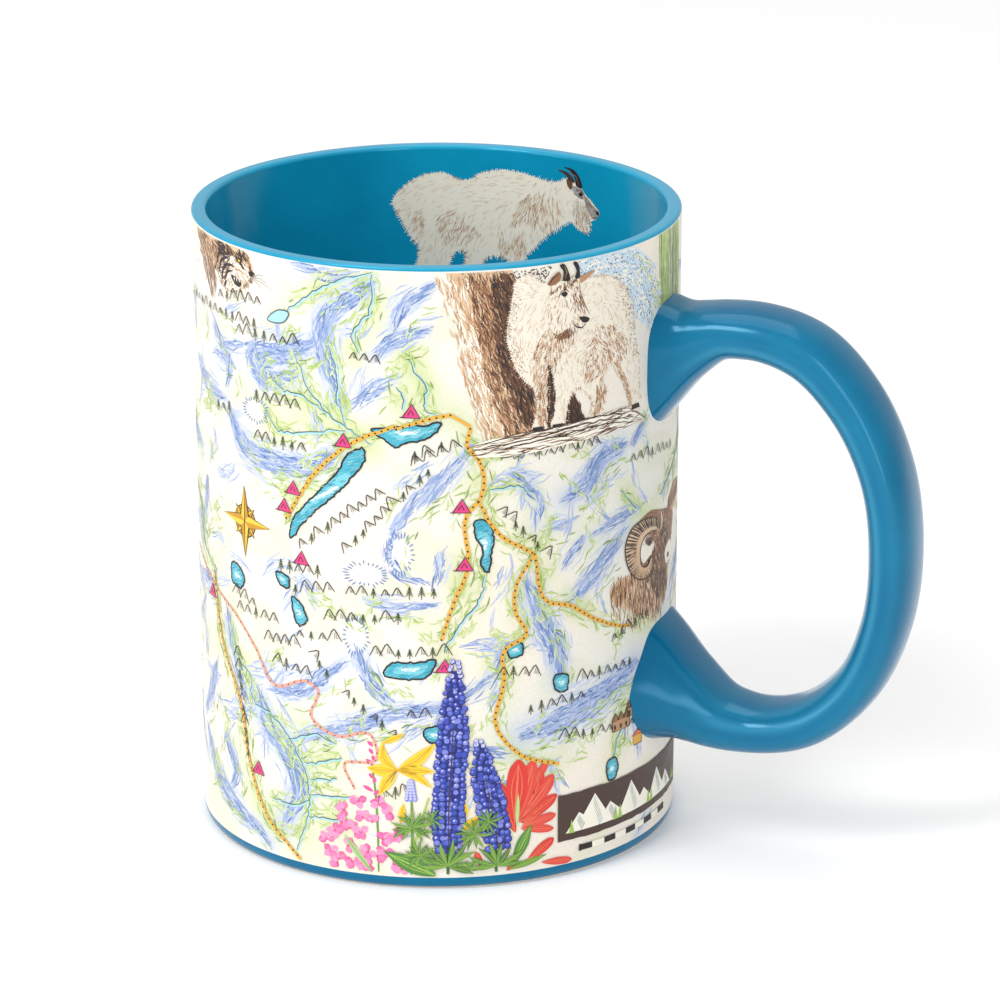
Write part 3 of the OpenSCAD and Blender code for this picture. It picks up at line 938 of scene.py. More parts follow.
def makeWater():
    sheet = newSheet()
    for run in bothSides(streams):
        path = wobble(smoothLine(run, 0.9), 0.16)
        path = path[[not inPicture(*p) for p in path]]
        if len(path) > 3:
            addLine(sheet, path + [0.18, -0.18], 0.45, "water", 3, 0.5)
            addLine(sheet, path, 0.21, "stream", 4, 0.5)
    for outline in bothSides(lakes):
        shore = wobble(closedLine(outline, 0.55), 0.09)
        middle = shore.mean(axis=0)
        addFill(sheet, shore, "lake", 6)
        addFill(sheet, wobble(middle + (shore - middle) * [0.66, 0.5], 0.08), "lakeMid", 7)
        addFill(sheet, wobble(middle + (shore - middle) * [0.36, 0.2], 0.08), "lakePale", 8)
        for spot in spotsInside(shore, int(len(shore) * 1.2)):
            addLine(sheet, [spot - [0.5, 0.2], spot + [0.5, 0.2]], 0.18,
                    ("lakeDeep", "water")[int(rng.integers(2))], 9)
        addLine(sheet, np.vstack([shore, shore[:2]]), 0.34, "dark", 9, 0.8)
    for outline in bothSides(paleLakes):
        shore = closedLine(outline, 0.5)
        addFill(sheet, shore, "water", 6)
        addLine(sheet, np.vstack([shore, shore[:2]]), 0.24, "stream", 7, 0.8)
    for s, z, wide, high in glaciers:
        hachuredOval(sheet, s, z, wide, high)
        hachuredOval(sheet, 2 * farSide[0] - s, 2 * farSide[1] - z, wide, high)
    return printSheet("lakesAndStreams", sheet)


def evenPoints(run, gap):
    path = smoothLine(run, 0.2)
    length = np.concatenate([[0], np.cumsum(np.linalg.norm(np.diff(path, axis=0), axis=1))])
    places = np.arange(0, length[-1], gap)
    return np.column_stack([np.interp(places, length, path[:, k]) for k in (0, 1)])


def addDots(sheet, points, size, inkName, layer):
    for point in points:
        sheet["dots"].append((np.array([point]), size * 2, inkName, layer, 1.0))


def makeTrails():
    sheet = newSheet()
    for run in bothSides(trails):
        path = smoothLine(run, 0.9)
        path = path[[not inPicture(*p, -2) for p in path]]
        addLine(sheet, wobble(path, 0.06), 0.74, "trail", 10, 0.8)
        addDots(sheet, [p for p in evenPoints(run, 1.2) if not inPicture(*p, -2)], 0.18, "dark", 12)
    for run in bothSides([dottedTrail]):
        addLine(sheet, wobble(smoothLine(run, 0.9), 0.06), 0.5, "salmon", 10, 0.8)
        addDots(sheet, evenPoints(run, 1.5), 0.16, "umber", 12)
    return printSheet("trails", sheet)


def makeCamps():
    sheet = newSheet()
    places = camps + turnedRound(camps)
    for s, z in places:
        addFill(sheet, [(s - 1.5, z - 0.8), (s + 1.5, z - 0.9), (s + 0.1, z + 1.5)], "magenta", 14)
        addLine(sheet, [(s - 1.9, z - 0.8), (s - 1.5, z - 0.85), (s + 1.6, z - 0.95), (s + 0.2, z + 1.6),
                        (s - 1.4, z - 0.7)],
                0.2, "dark", 15, 0.9)
        addLine(sheet, [(s - 0.5, z - 0.4), (s, z + 0.5), (s + 0.5, z - 0.4)], 0.2, "dark", 15, 0.9)
    return printSheet("campMarks", sheet)


makeWater()
makeTrails()
makeCamps()


# the pictures on the map

def furStrokes(sheet, outline, count, guides, length, width, colours, layer, spread=0.2, bend=0.15):
    # short hairs inside an outline; each follows the nearest guides, given as (s, z, direction in degrees)
    guides = np.array(guides, float)
    for spot in spotsInside(outline, count):
        near = 1 / (0.4 + ((guides[:, :2] - spot) ** 2).sum(axis=1)) ** 1.5
        angles = np.radians(guides[:, 2])
        rise, run = (near * np.sin(angles)).sum(), (near * np.cos(angles)).sum()
        turn = math.atan2(rise, run) + rng.normal(0, spread)
        along = np.array([math.cos(turn), math.sin(turn)])
        aside = np.array([-along[1], along[0]])
        half = rng.uniform(0.6, 1.3) * length / 2
        path = np.array([spot - along * half, spot + aside * rng.normal(0, bend) * half,
                         spot + along * half])
        if onPrint(path):
            addLine(sheet, path, rng.uniform(0.7, 1.2) * width, colours[int(rng.integers(len(colours)))],
                    layer, 0.2)


def shaggyEdge(sheet, outline, length, width, colours, layer, lean=0.5, gap=0.45):
    # hairs that break up an edge, leaning along it
    edge = np.vstack([outline, outline[:1]])
    middle = np.asarray(outline).mean(axis=0)
    steps = np.concatenate([[0], np.cumsum(np.linalg.norm(np.diff(edge, axis=0), axis=1))])
    for place in np.arange(0, steps[-1], gap):
        i = min(int(np.searchsorted(steps, place, side="right")) - 1, len(edge) - 2)
        heading = edge[i + 1] - edge[i]
        heading = heading / (np.linalg.norm(heading) + 1e-9)
        spot = edge[i] + heading * (place - steps[i])
        out = np.array([heading[1], -heading[0]])
        if np.dot(out, spot - middle) < 0:
            out = -out
        tip = out + heading * rng.uniform(-lean, lean) + np.array([0, -0.35])
        size = rng.uniform(0.5, 1.2) * length
        path = np.array([spot - tip * size * 0.6, spot, spot + tip * size * 0.6])
        if onPrint(path):
            addLine(sheet, path, width, colours[int(rng.integers(len(colours)))], layer, 0.25)


def stipple(sheet, outline, count, size, colours, layer):
    for spot in spotsInside(outline, count):
        if cup["bandHeight"] + 0.3 < spot[1] < cup["lipHeight"] - 0.2:
            name = colours[int(rng.integers(len(colours)))]
            sheet["dots"].append((spot[None, :], size * 2 * rng.uniform(0.7, 1.3), name, layer, 1.0))


goat = {
    "body": [(13.4, 110), (15.5, 111), (18.2, 109.5), (20, 108.8), (25.5, 109.2), (28.3, 108.8),
             (31.2, 108.6), (34.3, 107.2), (36.6, 105), (38, 101.9), (38.7, 98.8), (39, 95.7), (40.1, 93),
             (40.4, 88.3), (40.2, 82.2), (38.3, 82.4), (37.5, 85), (35.8, 88.6), (33.8, 91.2), (32.8, 93),
             (31.6, 91.4), (30.7, 89.2), (32, 88.2), (31.3, 86.3), (30.2, 83.8), (27.9, 83.5), (28.5, 86.4),
             (27.4, 88.2), (25.2, 89.6), (24.3, 89), (23.6, 87), (22.6, 83.6), (20, 83.5), (20.6, 87.6),
             (20.4, 92.3), (19.5, 95), (19.6, 88), (19.2, 83.4), (16.5, 83.3), (17.2, 86.1), (16.9, 90.5),
             (14.6, 92.8), (12.8, 96.6), (11.9, 100.9), (12.5, 104.9), (13, 108)],
    "head": [(19.9, 108.4), (22, 109.2), (23.2, 109.1), (24, 109.5), (25.3, 109.2), (25.4, 107.6),
             (26.2, 105), (27.8, 102.4), (27.5, 101.1), (26.1, 100.2), (24.8, 100.7), (23, 100.6),
             (21, 99.9), (19.6, 101.4), (19.4, 104), (19.6, 106.6)],
    "hornLeft": [(22.2, 109.2), (22.3, 110.7), (21.6, 112.1), (22.1, 112.2), (23.2, 110.7), (23.5, 109.1)],
    "hornRight": [(24.6, 109.2), (24.9, 110.5), (24.3, 112.2), (24.7, 112.2), (25.5, 110.6), (25.4, 109.2)],
    "earLeft": [(19.3, 108.8), (20, 110), (21.6, 110.8), (21.8, 109.8), (20.8, 108.8)],
    "earRight": [(25.6, 109.1), (27.2, 109.8), (28.7, 110), (27.4, 109), (25.6, 108.4)],
}
cliff = [(1.5, 112.1), (12.9, 112.1), (13, 109), (12.3, 104.9), (11.8, 100), (12.8, 96), (14.6, 92.4),
         (16.9, 90.3), (17.2, 88), (16.6, 83.2), (13.5, 82.5), (8.4, 82.6), (7.2, 89), (5.6, 95.9),
         (3.6, 104.5)]
ledge = [(5.9, 81.6), (9, 82.5), (16.7, 83.2), (23.1, 83.3), (30.8, 84), (36.5, 83.9), (39, 82.4),
         (42.4, 80.4), (34.5, 80.4), (23.1, 80), (13.5, 79.2), (6.8, 79.4)]
skyPatch = [(25.4, 112), (39, 112), (44.5, 107), (46.2, 102.5), (44, 97.2), (39, 99.4), (36.6, 105.6),
            (31.4, 108.8), (25.6, 109.4)]


def makeGoat():
    sheet = newSheet()
    addFill(sheet, closedLine(wobble(skyPatch, 0.2), 1.0), "sky1", 1)
    drift = [(28, 110, 20), (36, 109, -10), (42, 104, -50), (41, 99, -80)]
    furStrokes(sheet, skyPatch, 260, drift, 2.2, 0.4, ("sky1", "cream", "sky2", "cream"), 2)
    edge = [(38, 112), (45, 108), (48, 102), (46, 95), (43, 97), (44, 103), (41, 108.5)]
    furStrokes(sheet, edge, 160, drift, 2.2, 0.4, ("sky1", "cream", "grass1", "sky1"), 3)
    stipple(sheet, skyPatch, 520, 0.095, ("slate", "slate", "dark", "violet4"), 4)
    stipple(sheet, edge, 130, 0.09, ("slate", "grass4", "dark"), 4)
    addFill(sheet, cliff, "sand", 2)
    stipple(sheet, [(12, 112), (20, 112), (19, 109), (14, 110.5), (12.6, 106)], 110, 0.13,
            ("brown", "umber"), 5)
    slope = [(3, 110, -76), (9, 108, -68), (6, 98, -74), (12, 95, -62), (9, 88, -72), (14, 86, -58),
             (16, 84, -66)]
    furStrokes(sheet, cliff, 620, slope, 3.0, 0.3, ("sand", "tan", "cream", "sand", "sepia"), 3)
    openEdge = [(-0.5, 112), (3.4, 112), (6, 104.5), (7.6, 95.9), (9, 89), (9.6, 82.6), (7.4, 82.6),
                (5.6, 89), (3.8, 95.9), (1.6, 104.5)]
    furStrokes(sheet, openEdge, 260, slope, 2.4, 0.26, ("cream", "sand", "cream", "sand", "tan"), 4)
    shade = [(5, 112), (12.9, 112), (13, 109), (12.3, 104.9), (11.8, 100), (12.8, 96), (14.6, 92.4),
             (16.9, 90.3), (17.2, 88), (16.6, 83.2), (12, 82.8), (9.6, 90), (8, 97), (6.4, 104.5)]
    furStrokes(sheet, shade, 620, slope, 3.0, 0.32, ("sepia", "tan", "umber", "sepia"), 4)
    furStrokes(sheet, shade, 300, slope, 2.0, 0.2, ("brown", "umber", "sand"), 5)
    dark = [(11, 112), (13, 110), (12, 100), (13, 95), (16.8, 90), (16.5, 84), (14, 86), (11, 94),
            (9.4, 104), (9.4, 112)]
    furStrokes(sheet, dark, 420, slope, 2.0, 0.3, ("dark", "brown", "umber"), 6)
    stipple(sheet, cliff, 240, 0.08, ("brown", "umber", "dark"), 7)
    body = closedLine(goat["body"], 0.7)
    addFill(sheet, body, "fur", 8)
    flow = [(15, 109, 150), (14, 104, -120), (17, 104, -125), (14, 98, -95), (18, 98, -110), (16, 93, -100),
            (22, 97, -85), (24, 93, -70), (27, 97, -150), (28, 103, -170), (33, 105, -30), (37, 101, -70),
            (30, 98, -40), (34, 96, -55), (38, 94, -85), (39, 87, -92), (29, 90, -120), (26, 88, -110),
            (18, 87, -92), (21, 87, -90), (36, 89, -65)]
    furStrokes(sheet, body, 1000, flow, 1.2, 0.13, ("furShade", "cream", "furShade", "sand"), 9)
    stipple(sheet, body, 420, 0.065, ("sepia", "tan", "brown"), 10)
    belly = [(29, 100), (34, 99), (37, 96), (36.5, 92), (34, 92.5), (32.8, 93.2), (30.6, 90), (27, 90),
             (26, 93), (27.5, 97)]
    furStrokes(sheet, belly, 300, flow, 1.0, 0.15, ("tan", "sand", "sepia", "sand"), 11)
    stipple(sheet, belly, 130, 0.07, ("brown", "sepia"), 12)
    chest = [(17, 99), (20, 101.5), (23.5, 100), (24.5, 98), (21.5, 95.5), (20, 91), (18, 89), (16.6, 92),
             (16.6, 95)]
    furStrokes(sheet, chest, 300, flow, 1.1, 0.15, ("tan", "sand", "sepia", "sand"), 11)
    stipple(sheet, chest, 130, 0.07, ("brown", "sepia"), 12)
    rump = [(34.3, 107), (36.6, 105), (38, 101.9), (38.8, 98.8), (39.1, 95.7), (40.1, 93), (38.4, 92.5),
            (37.4, 96), (36, 101)]
    stipple(sheet, rump, 130, 0.075, ("brown", "dark", "sepia"), 12)
    flank = [(13.2, 108), (12.6, 104.9), (12, 100.9), (12.9, 96.6), (14.7, 92.8), (15.6, 94), (14, 98),
             (13.4, 102), (14.4, 107)]
    stipple(sheet, flank, 110, 0.075, ("brown", "sepia"), 12)
    for leg in ([(19.4, 95.4), (20.4, 93), (20.8, 88), (20, 83.8), (19.3, 83.6), (19.4, 88)],
                [(24.3, 89), (23.4, 86.4), (22.8, 83.7), (26.6, 83.7), (25.8, 86.6)]):
        addFill(sheet, leg, "umber", 9)
        furStrokes(sheet, leg, 90, [(20, 90, -88), (24, 86, -80)], 1.6, 0.3, ("dark", "brown"), 12)
    for hind in ([(33.2, 93), (34.8, 92.4), (38.2, 86), (38.6, 82.8), (37.6, 84.6), (35.8, 88.6)],
                 [(29.4, 89.4), (31.8, 88), (30, 84.4), (28.8, 84), (29.4, 87)],
                 [(17.4, 90), (19.2, 90), (19, 84), (17.4, 84)]):
        furStrokes(sheet, hind, 90, [(30, 87, -95), (36, 88, -62), (18, 87, -92)], 1.1, 0.17,
                   ("sepia", "tan", "sand"), 12)
    for s in (17.6, 21.4, 29.2, 39.4):
        addFill(sheet, [(s - 1.3, 83), (s - 1, 83.9), (s + 0.9, 83.9), (s + 1.3, 83)], "dark", 13)
    shaggyEdge(sheet, body, 0.65, 0.17, ("fur", "cream", "furShade", "tan"), 12)
    head = closedLine(goat["head"], 0.5)
    addFill(sheet, head, "fur", 14)
    face = [(20, 107, -120), (21, 104, -110), (21, 101, -100), (25, 105, -60), (26.5, 102.5, -60),
            (24, 103, -75), (24, 108, -80)]
    furStrokes(sheet, head, 150, face, 1.0, 0.15, ("tan", "furShade", "sepia"), 15)
    furStrokes(sheet, [(24.2, 107), (25.2, 107.6), (27.6, 102.6), (26, 102.6), (24, 105.4)], 46, face, 0.9,
               0.17, ("sepia", "umber"), 15)
    furStrokes(sheet, [(19.8, 101.4), (21, 100), (25, 100.4), (24, 99), (21, 98.6)], 60, face, 1.0, 0.22,
               ("umber", "sepia"), 13)
    furStrokes(sheet, [(19.8, 107), (22, 109), (25, 109), (24, 107.8), (21, 107.6)], 40, face, 0.8, 0.2,
               ("sepia", "umber"), 16)
    for name, colour in (("earLeft", "sepia"), ("earRight", "tan"), ("hornLeft", "dark"),
                         ("hornRight", "dark")):
        addFill(sheet, closedLine(goat[name], 0.3), colour, 17)
    addLine(sheet, [(22.5, 109.6), (22.9, 110.6), (22.4, 111.8)], 0.16, "tan", 19)
    addLine(sheet, [(19.5, 108.9), (20.2, 109.9), (21.4, 110.5)], 0.2, "dark", 19)
    addFill(sheet, closedLine([(21.8, 106.9), (22.5, 107.3), (23.1, 106.8), (22.6, 106.3)], 0.2), "dark", 18)
    addLine(sheet, [(21.3, 106.4), (21.9, 107.4), (22.8, 107.6), (23.4, 107)], 0.2, "brown", 19)
    addFill(sheet, closedLine([(25.5, 102.2), (27.2, 102), (27.7, 101.6), (27.1, 101.1), (26.2, 101.3)],
                              0.2), "dark", 18)
    addLine(sheet, [(24.2, 101.3), (25, 100.6), (26, 100.3), (26.9, 100.9)], 0.26, "dark", 19)
    addLine(sheet, [(26.2, 101.3), (26.1, 100.8)], 0.18, "dark", 19)
    addLine(sheet, [(25.4, 108.6), (25.6, 106.8), (26.4, 104.8), (27.6, 102.4)], 0.18, "sepia", 19)
    addFill(sheet, ledge, "cream", 14)
    furStrokes(sheet, ledge, 130, [(8, 80.6, 6), (20, 81.6, 4), (30, 82.4, 8), (38, 81.6, 2)], 3.4, 0.18,
               ("brown", "sepia", "umber"), 15, 0.06)
    for shift in (0, 0.9, 1.7):
        edge = wobble(smoothLine([(6, 81.5 - shift), (16, 82.9 - shift), (30, 83.8 - shift),
                                  (38.8, 82.6 - shift)], 1.4), 0.1)
        addLine(sheet, edge, 0.24, "brown", 16, 0.6)
    addLine(sheet, [(38.6, 82.8), (40, 82.2), (42.6, 80.4), (36, 80.3)], 0.22, "brown", 16, 0.6)
    return printSheet("goatPicture", sheet)


print("pictures")
makeGoat()

innerGoat = {
    "body": [(-20.7, 102.4), (-18.8, 105.1), (-16.1, 106.9), (-12, 107.8), (-10.1, 107.4), (-8.8, 106.7),
             (-6.1, 106.7), (-4.7, 107.7), (-2.5, 108.4), (-0.3, 108.7), (2.6, 108.6), (5.5, 108.1),
             (8.8, 107.5), (11.3, 107.8), (12.9, 108.6), (14.5, 108.3), (16.2, 107.4), (17.1, 106.4),
             (19.4, 104.6), (20.7, 103.5), (19.8, 102.2), (18.5, 101.4), (18, 99.5), (15.9, 99.4),
             (14.2, 100.7), (11.3, 99.3), (7.9, 96.7), (5.5, 94.2), (4.3, 92.9), (4.6, 89.5), (1.2, 89.2),
             (0.6, 92), (-3.4, 92), (-4.4, 89.2), (-7.6, 89.2), (-7.2, 93), (-8.6, 93.2), (-10.2, 90.9),
             (-11, 89.2), (-16, 89.2), (-15.9, 94.1), (-17.2, 95.8), (-18.6, 98.4), (-19.7, 100.4)],
    "hornBack": [(10.9, 110), (12.9, 109.9), (14.2, 109), (14.7, 108.2), (13.7, 108.2), (12.6, 109.3)],
    "hornFront": [(12.2, 110.7), (14.5, 110.5), (15.9, 109), (16.3, 107.4), (15.1, 107.6), (14.6, 109.2),
                  (13.5, 110.3)],
    "muzzle": [(16.9, 106), (19.4, 104.3), (20.6, 103.6), (20.2, 102.6), (19.6, 102.1), (18.2, 102.8),
               (17.2, 104.4)],
    "face": [(14, 107.2), (16.2, 107.3), (17, 106.2), (16.6, 105.4), (14.8, 105.9)],
}


def makeInnerGoat():
    sheet = newSheet()
    body = closedLine(innerGoat["body"], 0.6)
    addFill(sheet, body, "coat", 1)
    flow = [(-18, 103, -140), (-13, 105, -160), (-10, 102, -150), (-14, 98, -120), (-11, 94, -100),
            (-7, 98, -120), (-4, 104, 175), (2, 106, 178), (0, 101, -130), (3, 97, -105), (0, 94, -95),
            (7, 104, -105), (9, 100, -85), (11, 103, -75), (13, 102, -80), (15, 101, -88), (17, 101, -88),
            (13, 106, -150), (17, 104, -60), (5, 93, -90)]
    furStrokes(sheet, body, 1100, flow, 1.6, 0.2, ("coatPale", "coat", "coatPale", "coatShade", "coat"), 2)
    furStrokes(sheet, body, 150, flow, 1.1, 0.1, ("sand", "tan", "sand"), 3)
    folds = (([(3, 104), (8, 105), (12, 103), (11, 99.5), (8, 98), (4, 99), (1, 98), (0, 95)], 190),
             ([(-13, 99), (-10, 101), (-6, 98), (-4, 96), (-8, 94), (-11, 94)], 140),
             ([(-17, 101), (-15, 100), (-15, 96), (-17, 97)], 40),
             ([(0, 96), (4, 97), (5, 94), (3, 92), (-2, 93)], 80))
    for fold, count in folds:
        furStrokes(sheet, fold, count, flow, 1.3, 0.12, ("sand", "tan", "sand"), 4)
    shaggyEdge(sheet, body[(body[:, 0] < 13.5) | (body[:, 1] < 101.6)], 1.0, 0.24,
               ("coat", "coatPale", "coat", "sand"), 3)
    for name, colour, layer in (("hornBack", "brown", 6), ("hornFront", "dark", 7), ("muzzle", "grey", 4),
                                ("face", "grey", 4)):
        addFill(sheet, closedLine(innerGoat[name], 0.3), colour, layer)
    furStrokes(sheet, innerGoat["muzzle"], 34, [(18, 104, -50)], 0.9, 0.16, ("sepia", "tan", "stone"), 6)
    furStrokes(sheet, innerGoat["face"], 24, [(15, 106.5, -30)], 0.8, 0.16, ("sepia", "brown", "stone"), 6)
    addLine(sheet, [(13.4, 110), (15, 109.4), (15.7, 107.8)], 0.2, "sepia", 9)
    addFill(sheet, closedLine([(12.9, 108.6), (13.1, 107.3), (13.7, 106.7), (14.2, 107.9)], 0.25), "umber",
            7)
    addFill(sheet, closedLine([(15.6, 106.2), (16.2, 106.6), (16.6, 106.1), (16.1, 105.8)], 0.2), "dark", 8)
    addFill(sheet, closedLine([(19.8, 103.7), (20.4, 103.7), (20.6, 103.1), (20, 103.1)], 0.2), "dark", 8)
    addLine(sheet, [(18.6, 102.2), (19.3, 102.3), (20.1, 102.6)], 0.2, "umber", 8)
    furStrokes(sheet, [(14.6, 104.6), (16.6, 104.6), (18.4, 101.8), (18, 99.6), (16, 99.6), (14.4, 101)], 90,
               [(16, 102, -86)], 1.7, 0.17, ("sand", "tan", "cream", "stone"), 5)
    return printSheet("innerGoat", sheet, "picture_print", inside, ("inner_picture",))


makeInnerGoat()


ram = {
    "head": [(40.6, 61.4), (44.6, 62.7), (49.9, 61.6), (53, 60.9), (56.6, 59), (56, 56.3), (55.1, 53.4),
             (55.2, 50.8), (52.5, 50), (49.6, 51.6), (47.5, 55.3), (45.2, 58.1)],
    "neck": [(42.3, 54), (38.8, 52.9), (34.4, 52), (33.2, 50), (34.6, 48.4), (38.9, 46), (43.4, 43.9),
             (49.1, 43), (52.7, 45), (53.8, 50), (50, 53.6), (46.9, 55.6)],
    "hornOut": [(48.8, 58.9), (47.4, 60.6), (45.2, 61.4), (41.7, 61.8), (38.7, 61), (37.1, 58.8),
                (37.1, 56.2), (38.4, 53.4), (41, 51.2), (44.3, 50.8), (46, 52.2), (45.5, 54.4)],
    "hornIn": [(48.1, 58.1), (46.6, 58.7), (44.7, 58.9), (42.7, 58.4), (41.6, 57), (41.4, 55.8),
               (41.5, 54.8), (41.9, 53.6), (43, 52.9), (44, 52.9), (44.7, 53.4), (45.2, 54.3)],
    "hornFar": [(53, 60.8), (53.4, 62.4), (56.9, 64.6), (61, 64.4), (60.4, 61.4), (56, 59.6)],
    "patch": [(41.8, 57.4), (46.7, 56.2), (45.4, 54.6), (42.6, 53.6), (41.6, 55.4)],
}


def makeRam():
    sheet = newSheet()
    addFill(sheet, closedLine(ram["neck"], 0.6), "sand", 2)
    down = [(36, 50, -85), (44, 48, -80), (50, 47, -95), (47, 54, -70), (52, 52, -95)]
    furStrokes(sheet, ram["neck"], 420, down, 2.4, 0.26, ("sepia", "umber", "tan", "brown"), 3)
    throat = [(42.4, 53.4), (47, 55.4), (52.6, 51), (53, 46), (48, 46), (44, 50)]
    furStrokes(sheet, throat, 260, down, 2, 0.24, ("umber", "brown", "sepia", "dark"), 4)
    furStrokes(sheet, [(33, 52), (42, 52), (44, 44.6), (50, 43.4), (50, 41.6), (40, 42.6), (33.4, 46.4)],
               120, down, 2.6, 0.2,
               ("tan", "sand", "sepia"), 3)
    addFill(sheet, closedLine(ram["head"], 0.5), "sepia", 5)
    face = [(44, 62, 10), (50, 60, -60), (54, 58, -80), (50, 55, -75), (54, 52, -85), (47, 57, -40)]
    furStrokes(sheet, ram["head"], 260, face, 1.3, 0.17, ("umber", "brown", "sand", "tan"), 6)
    muzzleShade = [(47.6, 56), (50.4, 59.4), (53, 57), (53.6, 54), (51.6, 51.4), (49.4, 52.4)]
    furStrokes(sheet, muzzleShade, 130, face, 1.3, 0.22, ("brown", "dark", "umber"), 6)
    addLine(sheet, [(49.4, 61.4), (50, 59.6), (49.2, 58)], 0.5, "fur", 7)
    addFill(sheet, ram["patch"], "fur", 6)
    addFill(sheet, closedLine([(51.6, 53.4), (54.6, 54.6), (55.3, 52.6), (54.8, 50.8), (52.6, 50.4)], 0.4),
            "fur", 7)
    addFill(sheet, closedLine([(52.8, 52.4), (53.6, 52.6), (53.9, 51.9), (53.1, 51.6)], 0.2), "dark", 9)
    addLine(sheet, [(51.4, 50.9), (52.8, 50.6), (54.4, 51)], 0.26, "dark", 9)
    horn = ram["hornOut"] + ram["hornIn"][::-1]
    addFill(sheet, horn, "sand", 10)
    outer, inner = smoothLine(ram["hornOut"], 0.35), smoothLine(ram["hornIn"], 0.35)
    for k in np.linspace(0, 1, 54):
        a, b = outer[int(k * (len(outer) - 1))], inner[int(k * (len(inner) - 1))]
        edge = ("dark", "brown", "umber")[int(k * 2.99)]
        addLine(sheet, wobble([a, a * 0.62 + b * 0.38, a * 0.3 + b * 0.7], 0.06), 0.3, edge, 12, 0.5)
        addLine(sheet, [a * 1.0, a * 0.8 + b * 0.2], 0.34, "dark" if k < 0.75 else "umber", 12, 0.7)
        if k > 0.5:
            addLine(sheet, [a * 0.7 + b * 0.3, a * 0.1 + b * 0.9], 0.26, "sand", 13, 0.5)
    for line in (outer, inner):
        addLine(sheet, line, 0.24, "brown", 13, 0.7)
    addFill(sheet, ram["hornFar"], "tan", 8)
    for k in np.linspace(0, 1, 16):
        addLine(sheet, [(53 + 7.5 * k, 60.4 + 1.4 * k), (53.6 + 7.2 * k, 62.4 + 2 * k)], 0.3, "umber", 9,
                0.6)
    addFill(sheet, closedLine([(43.2, 57.6), (44.8, 58), (46, 57.2), (44.6, 56.4)], 0.3), "umber", 14)
    addFill(sheet, closedLine([(43.9, 57.2), (44.6, 57.5), (45.2, 57), (44.5, 56.7)], 0.2), "dark", 15)
    addLine(sheet, [(42.9, 58), (44.6, 58.6), (46.4, 57.8), (48.6, 59.8)], 0.34, "sepia", 16)
    return printSheet("ramHead", sheet)


cat = {
    "head": [(-56, 112), (-44, 112.1), (-38.9, 112.1), (-36.4, 111.4), (-35.1, 109.9), (-34.9, 108.4),
             (-35.4, 107), (-37.1, 105.4), (-39.1, 104.5), (-42.1, 103.8), (-44.6, 104.5), (-45.4, 106.4),
             (-48.2, 107), (-53.2, 109.1), (-55.6, 110.9)],
    "ruff": [(-54.2, 109), (-50.8, 108.4), (-46.4, 107), (-46.4, 104.6), (-47.8, 101.2), (-49.7, 103),
             (-51.9, 105.6)],
    "cheek": [(-45.3, 106.6), (-44.2, 109), (-41.4, 110.2), (-38.9, 110.3), (-37.4, 109.6), (-35.4, 108.4),
              (-36.6, 106.6), (-38.6, 105), (-41.6, 104.2), (-44.4, 104.8)],
}


